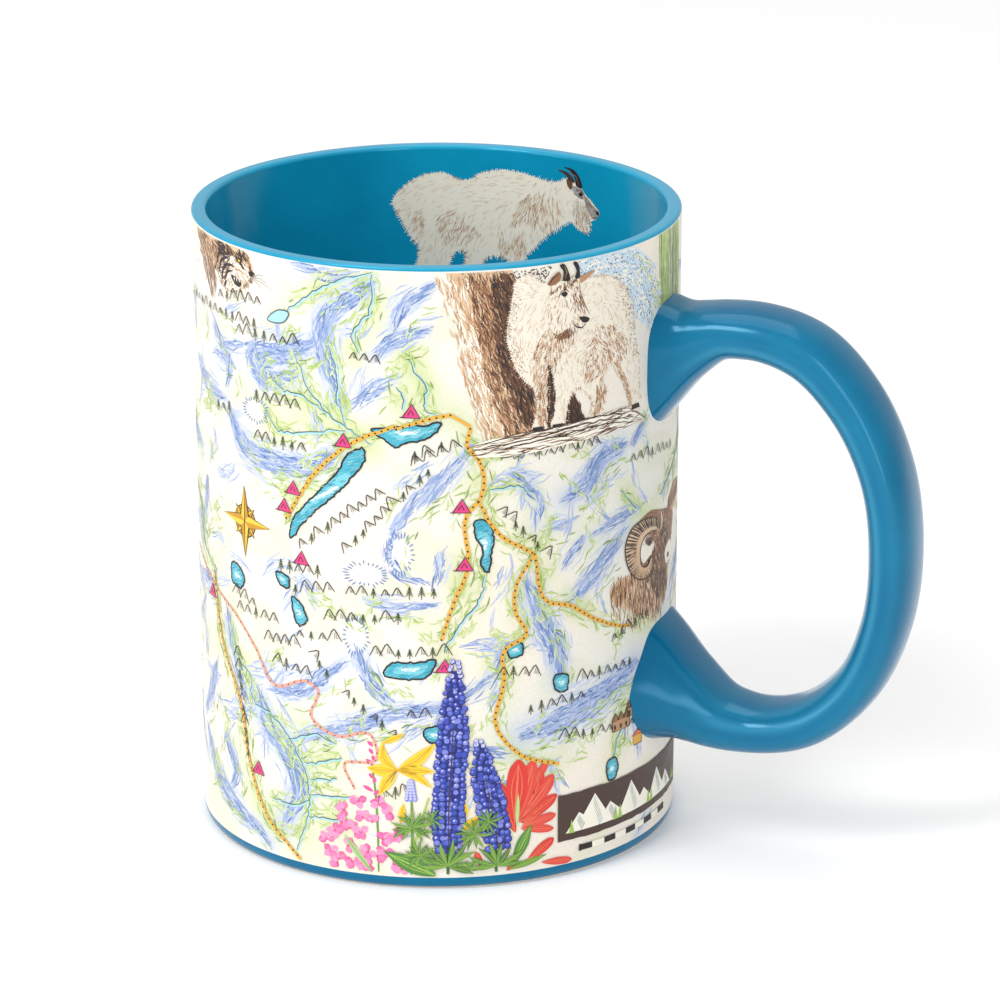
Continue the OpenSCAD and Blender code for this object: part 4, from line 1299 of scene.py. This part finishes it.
def makeWildCat():
    sheet = newSheet()
    addFill(sheet, cat["head"], "sand", 2)
    fan = [(-52, 111, -30), (-48, 110, -55), (-44, 111, -20), (-40, 111, -45), (-46, 107, -75),
           (-49, 104, -80), (-37, 110, -60)]
    furStrokes(sheet, cat["ruff"], 130, fan, 2.2, 0.24, ("sepia", "tan", "umber", "stone"), 3)
    furStrokes(sheet, cat["head"], 420, fan, 1.6, 0.24, ("sepia", "umber", "tan", "brown"), 3)
    furStrokes(sheet, [(-46, 112), (-38, 112), (-36, 110.4), (-40, 110.4), (-45, 109.6)], 90, fan, 1.3, 0.3,
               ("dark", "brown"), 4)
    addFill(sheet, closedLine(cat["cheek"], 0.5), "cream", 5)
    cheekFlow = [(-42, 107, -150), (-38, 108, -20), (-41, 105, -120)]
    furStrokes(sheet, cat["cheek"], 190, cheekFlow, 1.0, 0.15, ("tan", "sand", "sepia", "stone", "tan"), 6)
    furStrokes(sheet, [(-45.2, 106.6), (-44.2, 109), (-41.4, 110.2), (-41.8, 108), (-43, 105)], 60,
               cheekFlow, 0.9, 0.2, ("umber", "brown"), 7)
    stripes = ([(-45.2, 106.4), (-44.2, 108.8), (-41.6, 110.1)],
               [(-44.2, 105), (-43.6, 107.4), (-42, 108.6), (-40, 108.6)],
               [(-42.9, 105.6), (-42.2, 107.2), (-40.8, 107.7)], [(-43.4, 104.4), (-42.6, 105.6)],
               [(-40, 110.6), (-38.6, 109.9), (-37.2, 108.7)],
               [(-45.9, 108), (-45.2, 109.8), (-43.6, 111)])
    for stripe in stripes:
        addLine(sheet, wobble(smoothLine(stripe, 0.5), 0.05), 0.62, "dark", 8, 0.3)
    addFill(sheet, closedLine([(-41, 107), (-39.8, 106.9), (-38, 105.9), (-38.4, 105.4), (-40, 105.6)],
                              0.3), "dark", 9)
    for s in (-40.2, -39.5, -38.8):
        addFill(sheet, [(s, 106.8), (s + 0.35, 106.7), (s + 0.25, 106)], "cream", 11)
    addLine(sheet, [(-39.9, 108.2), (-38.6, 108.3), (-37, 107.9)], 0.3, "tan", 9)
    addFill(sheet, closedLine([(-39.4, 110), (-38.6, 110.4), (-37.8, 109.9), (-38.5, 109.5)], 0.2), "dark",
            10)
    addFill(sheet, closedLine([(-38.9, 110.1), (-38.5, 110.2), (-38.3, 109.9), (-38.6, 109.8)], 0.15),
            "yellow", 11)
    addFill(sheet, closedLine([(-36, 108.6), (-35.2, 108.7), (-35, 108), (-35.7, 107.8)], 0.2), "dark", 10)
    for tip in ((-31.8, 108.6), (-31.4, 107.4), (-30.2, 106.2), (-32.4, 105.6)):
        middle = ((tip[0] - 35.4) / 2, (tip[1] + 107.6) / 2 + 0.4)
        addLine(sheet, [(-35.4, 107.6), middle, tip], 0.13, "grey", 7, 0.4)
    shaggyEdge(sheet, closedLine(cat["cheek"], 0.5), 0.7, 0.16, ("cream", "stone", "sepia"), 7)
    return printSheet("wildCat", sheet)


def addPetal(sheet, base, tip, width, colour, vein, layer, bulge=0.55, bend=0.0, blunt=0.3):
    # blunt is the petal's width near its tip as a share of its widest
    base, tip = np.array(base, float), np.array(tip, float)
    along = tip - base
    aside = np.array([-along[1], along[0]]) / (np.linalg.norm(along) + 1e-9)
    half, middle = width / 2, base + along * bulge + aside * bend
    near, far = base + along * bulge * 0.4 + aside * bend * 0.6, base + along * 0.9 + aside * bend * 0.3
    outline = [base, near + aside * half * 0.7, middle + aside * half, far + aside * half * blunt, tip,
               far - aside * half * blunt, middle - aside * half, near - aside * half * 0.7]
    addFill(sheet, closedLine(outline, 0.35), colour, layer)
    if vein:
        for shift in (-0.22, 0, 0.22):
            crown = middle + aside * width * shift
            addLine(sheet, smoothLine([base, crown, tip * 0.92 + base * 0.08], 0.8),
                    width * (0.05 if shift else 0.1), vein, layer + 1, 0.4)


def halfSpike(widest, k):
    # half the width of a flower spike, k of the way down from its tip
    return widest / 2 * min(1, 0.22 + 2.1 * k) * (1 - 0.25 * max(0, k - 0.85) / 0.15)


def addLupine(sheet, stem, widest, rows, layer):
    spine = smoothLine(stem, 0.3)
    heights = np.linspace(0.05, 0.98, 24)
    sides = [[spine[int(k * (len(spine) - 1))] + [side * halfSpike(widest, k) * 0.9, 0] for k in heights]
             for side in (-1, 1)]
    addFill(sheet, sides[0] + sides[1][::-1], "lupineDark", layer - 2)
    for row in range(rows):
        k = row / (rows - 1)
        middle = spine[int(k * (len(spine) - 1))]
        half = halfSpike(widest, k)
        across = max(2, int(half * 2 / 0.95) + 1)
        for j in range(across):
            spot = middle + [half * (2 * (j + rng.uniform(-0.2, 0.2)) / (across - 1) - 1),
                             rng.uniform(-0.35, 0.35)]
            size = (0.5 + 0.16 * min(1, 2 * k)) * rng.uniform(0.85, 1.15)
            tone = "lupinePale"
            if k > 0.08:
                tone = ("lupine", "lupineMid", "lupine", "lupineLight")[int(rng.integers(4))]
            turn = layer + 3 * (row % 3)
            addDots(sheet, [spot], size, "lupineDark", turn)
            addDots(sheet, [spot + [-0.05, 0.1]], size * 0.78, tone, turn + 1)
            if rng.uniform() < 0.7:
                addDots(sheet, [spot + [-0.14, 0.22]], size * 0.3,
                        "lupinePale" if rng.uniform() < 0.35 else "lupineLight", turn + 2)
    addLine(sheet, spine[len(spine) // 3:], 0.22, "brown", layer + 8, 0.6)


def addPalmateLeaf(sheet, centre, reach, leaflets, start, layer):
    for k in range(leaflets):
        angle = math.radians(start + 300 * k / (leaflets - 1))
        size = reach * rng.uniform(0.8, 1.1)
        tip = (centre[0] + size * math.cos(angle), centre[1] + size * math.sin(angle) * 0.9)
        if tip[1] > cup["bandHeight"] + 0.5:
            colour = ("leaf", "leafDark", "leafMid")[k % 3]
            addPetal(sheet, centre, tip, reach * 0.15, colour, "leafLight", layer + 2 * (k % 2), 0.6,
                     rng.uniform(-0.3, 0.3))


def makeFlowers():
    sheet = newSheet()
    # fireweed
    stem = [(-11.8, 23), (-11.3, 18.5), (-10.9, 11.3), (-10.8, 3)]
    addLine(sheet, smoothLine(stem, 1.2), 0.42, "leaf", 4, 0.6)
    for s, z in ((-12.7, 27), (-12.4, 25.6), (-11.6, 24.4), (-13, 23.6), (-12.4, 21), (-11.2, 20.2),
                 (-13.6, 18.6), (-10.4, 18)):
        addPetal(sheet, (-11.6, z - 0.6), (s, z + 0.4), 0.7, "pink", None, 5)
    blooms = [(-17.2, 14), (-19, 9.8), (-16, 10.8), (-19.8, 5.8), (-10.6, 15.8), (-13.8, 4.4), (-18.6, 3.8),
              (-11, 6), (-14.4, 16), (-11.9, 12.4), (-14, 10.2), (-16.4, 7.4), (-8.6, 14.3), (-13.5, 13),
              (-9.9, 9.3), (-7.6, 10.2), (-15.6, 4.4), (-8, 4.8), (-12.8, 6.6), (-9.6, 7), (-17.6, 11.6),
              (-18.2, 4.6), (-12.4, 3.9), (-6.6, 3.9), (-20.6, 8)]
    for s, z in blooms:
        for k in range(5):
            angle = rng.uniform(0, 6.3)
            tip = (s + 1.75 * math.cos(angle), max(z + 1.6 * math.sin(angle), 2.9))
            addPetal(sheet, (s, z), tip, 1.35, ("pink", "pinkPale", "pinkMid")[k % 3], "pinkPale", 6 + k % 3)
        addDots(sheet, [np.array([s, z])], 0.28, "magenta", 11)
        for k in range(2):
            addLine(sheet, [(s, z), (s + rng.uniform(-1.4, 1.4), z + rng.uniform(0.4, 1.5))], 0.12, "cream",
                    12)
    # small pale lupine on its stem
    addLine(sheet, smoothLine([(-4.8, 17), (-4.7, 10), (-4.9, 2.9)], 1.2), 0.5, "leaf", 10, 0.7)
    addLine(sheet, smoothLine([(-1.8, 17.4), (-3.4, 12), (-4.8, 7)], 1.2), 0.4, "leafLight", 9, 0.7)
    for row in range(7):
        for j in range(3):
            spot = np.array([-4.9 + (j - 1) * 0.75 * (1 - row / 9), 17 + row * 0.55])
            addDots(sheet, [spot], 0.42, "lupineLight", 11)
            addDots(sheet, [spot + [-0.08, 0.1]], 0.27, "lupinePale", 12)
    # yellow lily
    petals = (((-9.9, 27.6), 1.9, 1.2), ((-0.5, 27.6), 2.2, -0.5), ((-0.8, 22.2), 1.9, 0.3),
              ((-1.2, 19.2), 1.5, 0.7),
              ((-10.6, 17.4), 2, -0.3), ((-12.8, 22.4), 2.2, 0.2))
    for tip, width, bend in petals:
        addPetal(sheet, (-7.3, 22.3), tip, width, "yellow", "yellowDeep", 14, 0.5, bend)
    addPetal(sheet, (-9.8, 27.2), (-6, 29.1), 1.1, "yellow", "yellowDeep", 15)
    for s, z in ((-9, 20.4), (-8.4, 20), (-8.8, 21.2), (-9.4, 19.8)):
        addLine(sheet, [(-7.4, 22.2), (s, z)], 0.26, "sepia", 17)
    addPetal(sheet, (4.2, 11.4), (7.2, 13.6), 1.6, "yellow", "yellowDeep", 10)
    addPetal(sheet, (4.4, 13.2), (4.6, 16.4), 1.4, "yellow", "yellowDeep", 10)
    addPetal(sheet, (-6.8, 12.4), (-6.2, 16.2), 1.2, "yellow", "yellowDeep", 10)
    # red paintbrush
    bracts = (((14, 12.4), (18.6, 21.4), 3.2), ((14, 12.2), (17, 23.2), 3.0),
              ((13.4, 12), (14.2, 23.6), 3.9), ((14.6, 12.4), (20.9, 19.8), 2.9),
              ((15, 11.8), (21.6, 15.9), 2.2),
              ((15.1, 11), (21.4, 12.2), 1.8), ((13.4, 12), (10.8, 19.6), 1.7),
              ((14.6, 10.6), (21, 9.6), 1.5),
              ((16, 4.6), (21, 7.8), 1.9), ((15.6, 17), (19.8, 22.6), 1.7), ((13.6, 10), (12.2, 14), 1.6),
              ((18.6, 3.6), (24.8, 3), 1.4),
              ((12, 3), (14, 4.6), 1.3), ((7.6, 4), (6.4, 7), 1.2), ((14.2, 12), (17.6, 12.4), 1.6))
    for k, (base, tip, width) in enumerate(bracts):
        addPetal(sheet, base, tip, width, ("red", "redMid")[k % 2], "redLight", 8 + 2 * (k % 3), 0.66, 0,
                 0.66)
    addPetal(sheet, (13.8, 11), (14.1, 17.4), 0.8, "leafLight", "cream", 15)
    for k in range(9):
        tip = (16.6 + rng.uniform(-1.4, 2.2), 13.4 + rng.uniform(-1, 2.4))
        addLine(sheet, [(14.8, 10.6), tip], 0.24, "redLight", 15)
    addPetal(sheet, (13.2, 4.2), (16.6, 11.2), 2.2, "leafMid", "leafLight", 14)
    addPetal(sheet, (12.4, 3.2), (19.6, 5), 1.2, "leaf", "leafLight", 13)
    # tall lupines in front
    addLine(sheet, smoothLine([(1.7, 10), (1.5, 3)], 1.0), 0.6, "leafDark", 12, 0.8)
    addLine(sheet, smoothLine([(9.8, 9), (10.1, 3)], 1.0), 0.6, "leafDark", 12, 0.8)
    addLupine(sheet, [(7.1, 27.8), (8.2, 20.5), (9.6, 13), (10.4, 7.6)], 4.3, 24, 18)
    addLupine(sheet, [(3, 42.6), (2.7, 36), (2.3, 26), (1.7, 16), (1.6, 7.4)], 4.6, 41, 18)
    # leaves at the foot
    for centre, reach, start in (((1.4, 4.6), 6, -45), ((10.2, 4.2), 5.6, -45), ((-4.7, 11.8), 4, -60),
                                 ((6.2, 10.4), 3.6, 0),
                                 ((5.6, 3.6), 3, -20), ((-3.4, 6.6), 3.4, -40), ((8.6, 12.6), 2.8, 20),
                                 ((-1.2, 13.4), 2.4, 10)):
        addPalmateLeaf(sheet, centre, reach, 13, start, 32)
    addPetal(sheet, (-0.6, 2.9), (-9.6, 7), 3, "leafMid", "leafLight", 30, 0.5)
    addPetal(sheet, (-12, 2.9), (-17.2, 9.4), 1.2, "leafPale", "leaf", 14, 0.5)
    return printSheet("flowers", sheet)


def makeCompassStar():
    sheet = newSheet()
    centre, long, short, waist = np.array([-38.5, 63.0]), 6.6, 3.7, 1.3
    for layer, size, turn in ((4, short, 45), (8, long, 0)):
        for k in range(4):
            a = math.radians(turn + 90 * k)
            tip = centre + size * np.array([math.cos(a), math.sin(a)])
            for side, colour in ((45, "goldPale"), (-45, "gold")):
                b = a + math.radians(side)
                notch = centre + waist * np.array([math.cos(b), math.sin(b)]) * (1.2 if size == long else 1)
                addFill(sheet, [centre, tip, notch] if side > 0 else [centre, notch, tip], colour, layer)
                addLine(sheet, [centre, tip, notch], 0.3, "dark", layer + 1, 0.8)
    ring = [centre + 2.6 * np.array([math.cos(a), math.sin(a)]) for a in np.linspace(0, 2 * math.pi, 40)]
    addLine(sheet, ring, 0.42, "gold", 2, 1)
    addLine(sheet, [centre + (p - centre) * 1.12 for p in ring], 0.2, "dark", 2, 1)
    return printSheet("compassStar", sheet)


def makePlaque():
    sheet = newSheet()
    left, right, low, high = 21.8, 61.0, 6.7, 15.5
    lowEdge = [(s, low + rng.uniform(-0.08, 0.12)) for s in np.arange(left + 1.5, right, 1.5)]
    highEdge = [(s, high + rng.uniform(-0.12, 0.08)) for s in np.arange(right - 1.5, left, -1.5)]
    outline = [(left, low)] + lowEdge + [(right, low), (right, high)] + highEdge + [(left, high)]
    addFill(sheet, outline, "plaque", 14)
    peaks = [(23.4, 8.1), (26.2, 11.6), (27.2, 10.9), (29.8, 14.3), (32.4, 10.6), (33.6, 11.8), (36.4, 9.6),
             (39.4, 14.1), (42.2, 10.2), (43.6, 11.4), (45.8, 9.4), (48.6, 13.6), (51.4, 9.8), (53.2, 11.6),
             (56.6, 8.1)]
    addFill(sheet, peaks, "cream", 16)
    for (s, z), reach in (((29.8, 14.3), 4.6), ((26.2, 11.6), 2.6), ((39.4, 14.1), 4.2), ((48.6, 13.6), 4),
                          ((53.2, 11.6), 2.6), ((33.6, 11.8), 2.4)):
        for k in range(11):
            start = np.array([s + 0.1 + k * 0.2, z - 0.5 - k * reach / 9])
            if start[1] > 9.2:
                addLine(sheet, [start, start + [-0.5 - 0.05 * k, -1.1]], 0.26,
                        ("lake", "violet4", "sepia", "leaf")[k % 4], 18)
    for s in (24.6, 35, 36.2, 45.2, 46.4, 57.8, 59):
        addFill(sheet, [(s - 0.6, 8), (s + 0.6, 8), (s, 10.6)], "leafLight", 18)
    start, bar, step = 26.4, (4.2, 5.3), 2.9
    for k in range(9):
        s = start + k * step
        box = [(s, bar[0]), (s + step, bar[0]), (s + step, bar[1]), (s, bar[1])]
        addFill(sheet, box, "dark" if k % 2 == 0 else "cream", 10)
    addLine(sheet, [(start, bar[0]), (start + 9 * step, bar[0]), (start + 9 * step, bar[1]),
                    (start, bar[1]), (start, bar[0])],
            0.22, "dark", 12, 1)
    return printSheet("plaque", sheet)


# short ranges of little peaks, as (start, end)
ranges = [
    ((-45.8, 102.3), (-32.8, 103.8)), ((-58.1, 99.4), (-33.9, 99.3)), ((-40.0, 97.3), (-24.9, 97.8)),
    ((-15.4, 96.9), (-9.7, 96.3)), ((-35.7, 86.4), (-24.7, 86.4)), ((-35.4, 79.3), (-23.6, 79.1)),
    ((-4.6, 78.4), (4.2, 81.8)), ((-5.0, 78.8), (1.8, 82.0)), ((-16.5, 61.7), (-0.9, 77.4)),
    ((-25.2, 61.2), (-9.0, 73.2)), ((10.2, 70.0), (19.6, 60.2)), ((-30.4, 56.7), (-20.7, 57.1)),
    ((-27.4, 52.9), (-18.4, 54.5)), ((-16.5, 54.4), (0.3, 55.0)), ((-20.4, 49.1), (-5.9, 50.2)),
    ((-26.6, 45.0), (-17.4, 45.5)), ((-11.9, 43.6), (2.0, 44.1)), ((-42.7, 49.1), (-35.6, 48.1)),
    ((-41.5, 46.5), (-30.2, 46.5)), ((-33.6, 42.7), (-25.8, 43.0)), ((-31.7, 39.1), (-23.4, 37.9)),
    ((10.3, 39.9), (18.0, 39.0)), ((15.4, 32.4), (27.6, 33.2)), ((25.7, 36.5), (39.6, 36.3)),
    ((22.0, 26.4), (40.4, 24.8)), ((-6.0, 32.6), (-1.1, 32.7)), ((11.1, 79.0), (30.3, 79.0)),
    ((37.9, 74.0), (54.8, 72.2)), ((33.5, 42.0), (44.8, 44.0)), ((-23.7, 42.6), (-19.4, 37.8)),
    ((-17.5, 36.3), (-7.4, 28.4)), ((-41.7, 38.2), (-38.6, 18.5)), ((-47.5, 82.0), (-41.6, 82.5)),
    ((-10.3, 16.7), (-5.0, 18.9)),
]


def addPeak(sheet, s, z, size, along):
    turn = np.array([[math.cos(along), -math.sin(along)], [math.sin(along), math.cos(along)]])
    ridge = [(-0.6, 0), (-0.15, 0.85), (0.05, 1), (0.25, 0.7), (0.65, 0)]
    addLine(sheet, [np.array([s, z]) + turn @ (np.array(p) * size) for p in ridge], 0.22, "dark", 11, 0.6)
    for k in range(3):
        shade = [(0.1 + 0.12 * k, 0.75 - 0.2 * k), (0.02 + 0.16 * k, 0.2)]
        addLine(sheet, [np.array([s, z]) + turn @ (np.array(p) * size) for p in shade], 0.17, "brown", 11,
                0.5)


def addTree(sheet, s, z, size):
    addLine(sheet, [(s, z - 0.25 * size), (s, z + size)], 0.22, "umber", 10, 0.7)
    for k in range(4):
        low, half = z + size * (0.08 + 0.22 * k), size * (0.36 - 0.08 * k)
        addLine(sheet, [(s - half, low), (s, low + 0.3 * size), (s + half, low)], 0.2,
                ("leafDark", "dark")[k % 2], 11, 0.6)


def makePeaks():
    sheet = newSheet()
    for start, end in ranges + [tuple(turnedRound(pair)) for pair in ranges]:
        if start[0] > end[0]:
            start, end = end, start
        reach = math.dist(start, end)
        along = math.atan2(end[1] - start[1], end[0] - start[0])
        count = max(2, int(reach / 1.9))
        for k in range(count):
            s, z = (start[i] + (end[i] - start[i]) * (k + 0.5) / count for i in (0, 1))
            if cup["bandHeight"] + 1 < z < cup["lipHeight"] - 3:
                lean = along if abs(along) < 1 else 0
                if rng.uniform() < 0.62:
                    addPeak(sheet, s, z - 0.4, rng.uniform(1.2, 2.3), lean * 0.9)
                else:
                    addTree(sheet, s, z - 0.5, rng.uniform(1.3, 2.0))
    return printSheet("peakMarks", sheet)


def makeHouses():
    sheet = newSheet()
    for s, z, wide, high in ((34, 24.6, 4.6, 1.9), (38, 26.4, 3, 1.6)):
        addFill(sheet, [(s, z), (s + wide, z), (s + wide, z + high), (s, z + high)], "tan", 12)
        for k in range(3):
            left = s + k * wide / 3
            addFill(sheet, [(left - 0.2, z + high), (left + wide / 3 + 0.1, z + high),
                            (left + wide / 6, z + high + 1.5)], "sepia", 13)
            addLine(sheet, [(left - 0.2, z + high), (left + wide / 6, z + high + 1.5),
                            (left + wide / 3 + 0.1, z + high)], 0.2, "dark", 15, 1)
            addFill(sheet, [(left + 0.4, z + 0.3), (left + 0.9, z + 0.3), (left + 0.9, z + 1.1),
                            (left + 0.4, z + 1.1)], "dark", 14)
        addLine(sheet, [(s, z), (s + wide, z), (s + wide, z + high), (s, z + high), (s, z)], 0.2, "dark",
                15, 1)
    addFill(sheet, [(40, 20.4), (42.6, 20.4), (42.6, 22.2), (40, 22.2)], "trail", 12)
    addFill(sheet, [(39.6, 22.1), (43, 22.1), (41.3, 23)], "redLight", 13)
    addLine(sheet, [(40, 20.4), (42.6, 20.4), (42.6, 22.2), (39.7, 22.2), (41.3, 23.1), (43, 22.1)], 0.18,
            "dark", 15, 1)
    for middle, wide, colour in ((50.5, 4.6, "grass2"), (52.6, 0.9, "grass4"), (55.6, 1.6, "grass3"),
                                 (48.2, 0.7, "grass3"), (58, 2.4, "grass2")):
        addFill(sheet, [(middle - wide / 2, 96), (middle + wide / 2, 96), (middle + wide / 2 - 0.8, 112.2),
                        (middle - wide / 2 - 0.8, 112.2)], colour, 1)
        furStrokes(sheet, [(middle - wide / 2, 96), (middle + wide / 2, 96), (middle + wide / 2 - 0.8, 112),
                           (middle - wide / 2 - 0.8, 112)],
                   int(50 * wide), [(50, 100, 93)], 3, 0.26, ("grass3", "grass1", "grass4", "grass2"), 2,
                   0.05)
    for s in (48.7, 53.4, 54.4, 56.6):
        addLine(sheet, [(s, 96), (s - 0.8, 112.2)], 0.24, "moss" if s != 54.4 else "umber", 5, 0.9)
    return printSheet("housesAndBorder", sheet)


makeRam()
makeWildCat()
makeFlowers()
makeCompassStar()
makePlaque()
makePeaks()
makeHouses()


# the printed wrap: the paper ground, with washes under the pencil work

wash = {"violet": linear("c3cfe4"), "green": linear("d5dda6"), "cream": linear("f7eee0"),
        "mint": linear("f0ede2")}


def nearness(s, z, run, reach):
    # 1 on the run, falling to 0 about reach away, the short way round the wall
    near = np.zeros(len(s))
    for ps, pz in smoothLine(run, 1.2):
        ds = (s - ps + roundWall / 2) % roundWall - roundWall / 2
        near = np.maximum(near, np.exp(-(ds * ds + (z - pz) ** 2) / (reach * reach)))
    return near


def clouds(s, z, size, seed):
    # a smooth random field that meets itself round the wall
    own = np.random.default_rng(seed)
    field = np.zeros(len(s))
    most = max(2, int(roundWall / size))
    for wave in range(60):
        turns = own.integers(-most, most + 1)
        rise = own.uniform(-1, 1) * 2 * math.pi / size
        field += np.cos(s * 2 * math.pi * turns / roundWall + z * rise + own.uniform(0, 2 * math.pi))
    return field / math.sqrt(30)


def washTints(points):
    s = (np.arctan2(points[:, 1], points[:, 0]) - outside["Front"]) * mapRadius
    z = points[:, 2] / mm
    violet, green = np.zeros(len(s)), np.zeros(len(s))
    for width, strength, run in allRidges:
        violet = np.maximum(violet, strength * nearness(s, z, run, width * 0.75))
    for run in bothSides(streams) + bothSides(trails):
        green = np.maximum(green, 0.55 * nearness(s, z, run, 3.2))
    patchy = clouds(s, z, 9, 3)
    broad = smoothStep(0.5 + 0.45 * clouds(s, z, 34, 5))
    colour = np.array(wash["cream"]) + (np.array(wash["mint"]) - wash["cream"]) * broad[:, None]
    for tint, amount in (("green", green * (0.75 + 0.25 * patchy) + 0.24 * smoothStep(patchy - 0.1)),
                         ("violet", violet * 0.75)):
        amount = np.clip(amount, 0, 1)[:, None]
        colour = colour * (1 - amount) + np.array(wash[tint]) * amount
    return colour


def makeWrap():
    c = cup
    heights = np.linspace(c["lipHeight"], c["bandHeight"], 150)
    profile = ([(wallRadius(c["bandHeight"]) - 0.1, c["bandHeight"]),
                (wallRadius(c["lipHeight"]) - 0.1, c["lipHeight"])]
               + [(wallRadius(z), z) for z in heights])
    piece = revolve("printWrap", profile, paper, 400)
    points = np.zeros(len(piece.data.vertices) * 3)
    piece.data.vertices.foreach_get("co", points)
    layer = piece.data.attributes.new("tint", "FLOAT_COLOR", "POINT")
    layer.data.foreach_set("color", washTints(points.reshape(-1, 3)).astype(np.float32).ravel())
    return piece


print("printed wrap")
finishPiece(makeWrap(), "map_print", "print_wrap", "outer_glaze")


# carried-over parts

for node in ("handle", "upper_slip_joint", "lower_slip_joint"):
    solid = frame["nodes"][node]
    solid.data.materials.clear()
    solid.data.materials.append(clay)


# floor, light and camera

studio = {
    "azimuth": 19.8, "elevation": 18.27, "roll": 0.254, "distance": 925.9, "lens": 185.75,
    "shift": (0.06225, 0.00704), "floor": 3.0, "floorTone": 0.94, "floorGlow": 0.12, "worldLight": 0.58,
    "aim": (0, 0, 0.06),
    # place, size, power
    "softboxKey": ((-0.35, -0.75, 1.05), (0.45, 0.45), 6.4),
    "softboxLeft": ((-0.75, -0.85, 0.45), (0.42, 1.1), 3.6),
    "softboxRight": ((0.85, -0.95, 0.55), (0.3, 1.1), 3.4),
    "softboxTop": ((-0.1, 0.3, 1.2), (0.9, 0.9), 3.6),
}


def makeFloor():
    size = studio["floor"]
    mesh = bpy.data.meshes.new("floor")
    mesh.from_pydata([(-size, -size, 0), (size, -size, 0), (size, size, 0), (-size, size, 0)], [],
                     [(0, 1, 2, 3)])
    material, tree, shader = newMaterial("paleFloor")
    tone = studio["floorTone"]
    shader.inputs["Base Color"].default_value = (tone, tone, tone, 1)
    shader.inputs["Emission Color"].default_value = (1, 1, 1, 1)
    shader.inputs["Emission Strength"].default_value = studio["floorGlow"]
    shader.inputs["Roughness"].default_value = 0.9
    mesh.materials.append(material)
    floor = bpy.data.objects.new("floor", mesh)
    bpy.context.scene.collection.objects.link(floor)


def makeCamera():
    s = studio
    azimuth, elevation, roll = (math.radians(s[k]) for k in ("azimuth", "elevation", "roll"))
    back = Vector((math.sin(azimuth) * math.cos(elevation), -math.cos(azimuth) * math.cos(elevation),
                   math.sin(elevation)))
    right = Vector((math.cos(azimuth), math.sin(azimuth), 0))
    up = back.cross(right)
    lens = bpy.data.cameras.new("camera")
    lens.lens, lens.sensor_width = s["lens"], 36
    lens.shift_x, lens.shift_y = s["shift"]
    lens.clip_end = 20
    camera = bpy.data.objects.new("camera", lens)
    axes = (right * math.cos(roll) - up * math.sin(roll), right * math.sin(roll) + up * math.cos(roll), back)
    turn = Matrix([[a[i] for a in axes] for i in range(3)])
    centre = Vector((0, 0, cup["height"] / 2 * mm))
    camera.matrix_world = Matrix.Translation(centre + back * s["distance"] * mm) @ turn.to_4x4()
    bpy.context.scene.collection.objects.link(camera)
    bpy.context.scene.camera = camera


def makeSoftbox(name, place, aim, size, power):
    lamp = bpy.data.lights.new(name, "AREA")
    lamp.shape = "RECTANGLE"
    lamp.size, lamp.size_y = size
    lamp.energy = power
    box = bpy.data.objects.new(name, lamp)
    box.location = place
    box.rotation_euler = (Vector(aim) - Vector(place)).to_track_quat("-Z", "Y").to_euler()
    bpy.context.scene.collection.objects.link(box)


def makeLight():
    scene = bpy.context.scene
    scene.view_settings.view_transform = "Standard"
    world = bpy.data.worlds.new("studio")
    world.use_nodes = True
    world.node_tree.nodes["Background"].inputs["Color"].default_value = (1, 1, 1, 1)
    world.node_tree.nodes["Background"].inputs["Strength"].default_value = studio["worldLight"]
    scene.world = world
    for name in ("softboxKey", "softboxLeft", "softboxRight", "softboxTop"):
        place, size, power = studio[name]
        makeSoftbox(name, place, studio["aim"], size, power)


print("studio")
makeFloor()
makeCamera()
makeLight()
bpy.context.view_layer.update()
